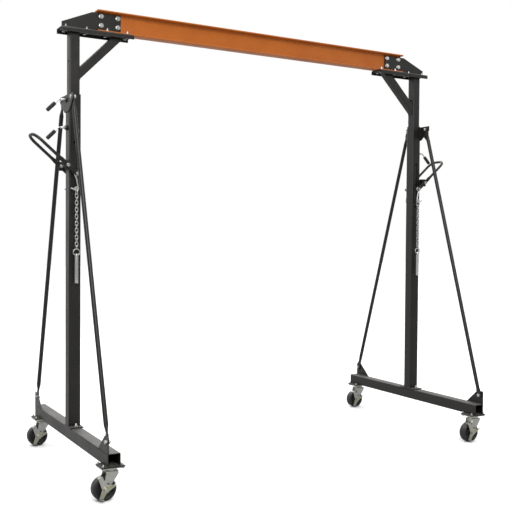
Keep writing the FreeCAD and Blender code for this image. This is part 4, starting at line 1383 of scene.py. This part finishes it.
class GANTRY_OT_caster_forks(bpy.types.Operator):
    """Press the caster forks out of sheet: crown, bent legs, race and axle bolt"""

    bl_idname = "gantry.caster_forks"
    bl_label = "Caster forks"

    INSIDE = 28.5 * MM
    OUTSIDE = 32.5 * MM
    CROWN = 155 * MM
    SHEET = 5 * MM
    HALF_CROWN = 33 * MM
    FOOT = 17 * MM
    AXLE_HOLE = 6.1 * MM
    BALLS = 30

    def legs(self, place):
        """Crown sheet with two legs drawn down to the axle."""
        crown = block("fork", (place.x - self.HALF_CROWN, place.y - self.OUTSIDE, self.CROWN - self.SHEET),
                      (place.x + self.HALF_CROWN, place.y + self.OUTSIDE, self.CROWN))
        edit(crown)
        for side in (-1, 1):
            pick_all()
            bpy.ops.mesh.bisect(plane_co=(place.x, place.y + side * self.INSIDE, 0), plane_no=(0, 1, 0))
        axle = Vector((place.x - CASTER_TRAIL, 0, AXLE_HEIGHT))
        pick(lambda face: face.normal.z < -FACING and abs(middle(face).y - place.y) > self.INSIDE)
        here, wide = Vector((place.x, place.y, self.CROWN - self.SHEET)), self.HALF_CROWN
        stations = [(place.x, 140 * MM, 33 * MM), (place.x - 6 * MM, 128 * MM, 31 * MM),
                    (place.x - 17 * MM, 104 * MM, 25.5 * MM), (place.x - 29 * MM, 82 * MM, 19.5 * MM),
                    (axle.x, axle.z + 3 * MM, self.FOOT)]
        for degrees in (20, 40, 58, 74, 86):
            angle = math.radians(degrees)
            stations.append((axle.x, axle.z - self.FOOT * math.sin(angle), self.FOOT * math.cos(angle)))
        for x, z, half in stations:
            extrude((x - here.x, 0, z - here.z))
            here = Vector((x, place.y, z))
            resize((half / wide, 1, 1), here)
            wide = half
        bpy.ops.mesh.select_mode(type="EDGE")
        pick(lambda edge: abs(middle(edge).z - self.CROWN) < SAME_PLACE
             and abs(abs(middle(edge).y - place.y) - self.OUTSIDE) < SAME_PLACE, "edges")
        bpy.ops.mesh.bevel(offset=4.5 * MM, segments=4, affect="EDGES")
        leave_edit()
        return crown

    def execute(self, context):
        place = Vector(JOINTS["left_front_swivel"]["pos_m"])
        fork = self.legs(place)
        axle = Vector((place.x - CASTER_TRAIL, place.y, AXLE_HEIGHT))
        hole = axle + Vector((14 * MM, -0.06, 30 * MM))
        drill(fork, hole, (0, 1, 0), 4 * MM, 0.12)
        drill(fork, axle - Vector((0, 0.06, 0)), (0, 1, 0), self.AXLE_HOLE, 0.12)
        drill(fork, (place.x, place.y, 0.1), (0, 0, 1), 7.05 * MM, 0.07)
        soften(fork, 0.8 * MM, angle=50)
        base = (place.x, place.y, 0)
        race = turned("race", base, (0, 0, 1),
                      [(28 * MM, self.CROWN - 0.5 * MM), (31 * MM, self.CROWN + 1 * MM),
                       (31 * MM, self.CROWN + 8 * MM), (29.5 * MM, self.CROWN + 10 * MM),
                       (28.6 * MM, self.CROWN + 11.4 * MM), (25 * MM, self.CROWN + 11.4 * MM),
                       (23.5 * MM, self.CROWN + 9 * MM), (20 * MM, self.CROWN + 9 * MM),
                       (20 * MM, self.CROWN + 5 * MM), (7.2 * MM, self.CROWN + 5 * MM),
                       (7.2 * MM, self.CROWN - 0.5 * MM)], 48, bridge=True)
        soften(race, 0.6 * MM, angle=35)
        parts = [fork, race] + self.balls(base, self.CROWN + 11 * MM)
        seat = axle - Vector((0, self.OUTSIDE + 6 * MM, 0))
        turn = Vector((0, 0, 1)).rotation_difference(Vector((0, 1, 0))).to_matrix().to_4x4()
        bolt = make_bolt("axle", FRAME_BOLT, 2 * self.OUTSIDE + 6 * MM)
        bolt.data.transform(moved(seat) @ turn)
        spacer = turned("spacer", seat, (0, 1, 0),
                        [(self.AXLE_HOLE, 0.6 * MM), (9 * MM, 0.6 * MM), (9 * MM, 5.8 * MM),
                         (self.AXLE_HOLE, 5.8 * MM)], 28, bridge=True)
        master = joined("fork", parts + [bolt, spacer])
        settle_corners(master, "swivel", "yoke", "fork", "caster_zinc", node="fork")
        return {"FINISHED"}

    def balls(self, base, level):
        """Race balls, just seen between the two races."""
        rest()
        bpy.ops.mesh.primitive_ico_sphere_add(subdivisions=2, radius=1.6 * MM,
                                              location=(base[0] + 26.2 * MM, base[1], level))
        ball = named("ball")
        shade(ball)
        made = []
        for k in range(self.BALLS):
            turn = moved(base) @ Matrix.Rotation(2 * math.pi * k / self.BALLS, 4, "Z") @ moved(-Vector(base))
            made.append(copy_of(ball, "ball_copy", turn))
        bpy.data.objects.remove(ball)
        return made


class GANTRY_OT_rockers(bpy.types.Operator):
    """Press the brakes' rockers, and the treads of their pedals"""

    bl_idname = "gantry.rockers"
    bl_label = "Brake rockers"

    # degrees below the X axis, and the reach and half width in millimetres
    ARMS = ((-24.0, 47.0, 7.5), (121.0, 47.0, 8.0))
    # millimetres from the axle: the pedal's span in X, its top in Z and its span in Y
    PEDAL = ((35.0, 51.0), 24.0, (-51.5, -36.0))
    RIBS = 5

    def arm(self, degrees, reach, half):
        """Flat arm from the axle, turned to its place, with a rounded end."""
        arm = block("arm", (0, -0.8 * MM, -half * MM), (reach * MM, 0, half * MM))
        edit(arm, "EDGE")
        pick(lambda edge: middle(edge).x > (reach - 1) * MM and
             abs((edge.verts[0].co - edge.verts[1].co).y) > 0.5 * MM, "edges")
        bpy.ops.mesh.bevel(offset=6 * MM, segments=5, affect="EDGES")
        leave_edit()
        soften(arm, 0.3 * MM, angle=50)
        arm.data.transform(Matrix.Rotation(math.radians(degrees), 4, "Y"))
        return arm

    def execute(self, context):
        axle = Vector(JOINTS["left_front_wheel_spin"]["pos_m"])
        face = moved(axle - Vector((0, 37.5 * MM, 0)))
        disc = turned("rocker", (0, -0.9 * MM, 0), (0, 1, 0),
                      [(6.4 * MM, 0.2 * MM), (15.8 * MM, 0), (16.6 * MM, 0.5 * MM), (16.6 * MM, 1.1 * MM),
                       (6.4 * MM, 1.1 * MM)], 40, bridge=True)
        plates = [disc] + [self.arm(*arm) for arm in self.ARMS]
        for plate in plates:
            plate.data.transform(face)
        rocker = joined("rocker", plates)
        (start, end), top, (near, far) = self.PEDAL
        ribs = []
        for k in range(self.RIBS):
            x = start + (end - start) * (k + 0.5) / self.RIBS
            rib = block("rib", ((x - 0.7) * MM, near * MM, (top - 0.3) * MM),
                        ((x + 0.7) * MM, far * MM, (top + 0.7) * MM))
            rib.data.transform(moved(axle))
            ribs.append(soften(rib, 0.3 * MM, angle=50))
        treads = joined("treads", ribs)
        settle_corners(rocker, "wheel_spin", "rocker", "brake", "caster_zinc", finish="yellow_zinc")
        settle_corners(treads, "wheel_spin", "pedal_tread", "brake", "caster_zinc")
        return {"FINISHED"}


class GANTRY_OT_wheels(bpy.types.Operator):
    """Turn the caster wheels: hub, thin web with a moulded ring, and a crowned tread"""

    bl_idname = "gantry.wheels"
    bl_label = "Wheels"

    # radius and distance from the middle of the wheel, in millimetres, from hub to tread
    NEAR_HALF = ((6.2, -27), (15.5, -27), (17, -25.8), (18.2, -15), (20.5, -12.6), (28.5, -12.2),
                 (29.5, -14.6), (32.5, -14.6), (33.5, -12.2), (43.0, -12.8), (45.6, -15.0), (47.2, -22.6),
                 (49, -24.6), (56.5, -25), (60.2, -23.6), (62.6, -20.6), (63.3, -16), (63.5, -8))

    def execute(self, context):
        place = Vector(JOINTS["left_front_wheel_spin"]["pos_m"])
        profile = [(r * MM, y * MM) for r, y in self.NEAR_HALF]
        profile += [(r * MM, -y * MM) for r, y in reversed(self.NEAR_HALF)]
        master = turned("wheel", place, (0, 1, 0), profile, sizes().wheel_steps, bridge=True)
        shade(master, math.radians(28))
        settle_corners(master, "wheel_spin", "tread_wheel", "wheel", "wheel_black", node="wheel")
        return {"FINISHED"}


class GANTRY_OT_stage(bpy.types.Operator):
    """Lay the pale floor, light it softly and stand the camera"""

    bl_idname = "gantry.stage"
    bl_label = "Floor, light and camera"

    # name, place, size and share of the key light's power
    LAMPS = (("key", (-2.5, -5.0, 4.6), 3.0, 1.0), ("fill", (5.0, -4.5, 4.2), 3.0, 0.12),
             ("back", (1.5, 6.0, 4.5), 3.5, 0.4))
    LAMPS_AIM = (0, 0, 2.3)
    FLOOR_SIZE = 60
    FLOOR_DROP = 0.2 * MM

    def surround(self, stage):
        """White cyclorama: a bright back wall and ceiling, and a dimmer room in front."""
        world = bpy.data.worlds.new("studio")
        world.use_nodes = True
        tree = world.node_tree
        background = tree.nodes["Background"]
        background.inputs["Color"].default_value = (1, 1, 1, 1)
        place = add_node(tree, "TexCoord", (-900, 0))
        parts = add_node(tree, "SeparateXYZ", (-700, 0))
        tree.links.new(place.outputs["Generated"], parts.inputs[0])
        wall = spread(tree, parts.outputs["Y"], 0.0, 0.75, stage.room, stage.sky, (-500, 100))
        ceiling = spread(tree, parts.outputs["Z"], 0.35, 0.85, 0.0, stage.ceiling, (-500, -150))
        lighting = combine_values(tree, "ADD", wall, ceiling, (-300, 0))
        path = add_node(tree, "LightPath", (-500, 400))
        seen = combine_values(tree, "MAXIMUM", lighting, path.outputs["Is Camera Ray"], (-100, 100))
        tree.links.new(seen, background.inputs["Strength"])
        return world

    def execute(self, context):
        scene = context.scene
        stage = scene.gantry_stage
        rest()
        bpy.ops.mesh.primitive_plane_add(size=self.FLOOR_SIZE, location=(0, 0, -self.FLOOR_DROP))
        floor = named("studio_floor")
        edit(floor)
        pick_all()
        bpy.ops.mesh.subdivide(number_cuts=3)
        leave_edit()
        floor.data.materials.append(floor_material())

        scene.world = self.surround(stage)
        for name, place, size, share in self.LAMPS:
            lamp = bpy.data.lights.new(name, "AREA")
            lamp.size = size
            lamp.energy = stage.key * share
            light = bpy.data.objects.new(name, lamp)
            light.location = place
            aim = Vector(self.LAMPS_AIM) - Vector(place)
            light.rotation_euler = aim.to_track_quat("-Z", "Y").to_euler()
            scene.collection.objects.link(light)

        heading, pitch, roll = stage.heading, stage.pitch, stage.roll
        forward = Vector((math.sin(heading) * math.cos(pitch), math.cos(heading) * math.cos(pitch),
                          math.sin(pitch)))
        level = Vector((math.cos(heading), -math.sin(heading), 0))
        upright = level.cross(forward)
        across = level * math.cos(roll) + upright * math.sin(roll)
        upwards = upright * math.cos(roll) - level * math.sin(roll)
        camera = bpy.data.objects.new("camera", bpy.data.cameras.new("camera"))
        camera.data.sensor_width = 36
        camera.data.lens = stage.lens
        facing = Matrix((across, upwards, -forward)).transposed().to_4x4()
        camera.matrix_world = moved(stage.camera) @ facing
        scene.collection.objects.link(camera)
        scene.camera = camera
        scene.view_settings.view_transform = "Standard"
        return {"FINISHED"}


OPERATORS = (
    GANTRY_OT_frame_finish, GANTRY_OT_beam, GANTRY_OT_bolts, GANTRY_OT_welds, GANTRY_OT_lock_pins,
    GANTRY_OT_levers, GANTRY_OT_hooks, GANTRY_OT_chains, GANTRY_OT_lift_pins, GANTRY_OT_caster_plates,
    GANTRY_OT_caster_forks, GANTRY_OT_rockers, GANTRY_OT_wheels, GANTRY_OT_stage,
)


class GANTRY_PT_panel(bpy.types.Panel):
    """Lists the settings and the pieces in the sidebar"""

    bl_idname = "GANTRY_PT_panel"
    bl_label = "Gantry Crane"
    bl_space_type = "VIEW_3D"
    bl_region_type = "UI"
    bl_category = "Gantry"

    def draw(self, context):
        for group in (context.scene.gantry_sizes, context.scene.gantry_colours, context.scene.gantry_stage):
            box = self.layout.box()
            for name in group.__annotations__:
                box.prop(group, name)
        for operator in OPERATORS:
            self.layout.operator(operator.bl_idname)


GROUPS = (("gantry_sizes", GantrySizes), ("gantry_colours", GantryColours), ("gantry_stage", GantryStage))


def register():
    for name, group in GROUPS:
        bpy.utils.register_class(group)
        setattr(bpy.types.Scene, name, bpy.props.PointerProperty(type=group))
    for operator in OPERATORS:
        bpy.utils.register_class(operator)
    bpy.utils.register_class(GANTRY_PT_panel)


def unregister():
    bpy.utils.unregister_class(GANTRY_PT_panel)
    for operator in reversed(OPERATORS):
        bpy.utils.unregister_class(operator)
    for name, group in reversed(GROUPS):
        delattr(bpy.types.Scene, name)
        bpy.utils.unregister_class(group)


def main():
    register()
    for operator in OPERATORS:
        group, name = operator.bl_idname.split(".")
        getattr(getattr(bpy.ops, group), name)()
    clear_bolt_masters()


if __name__ == "__main__":
    main()
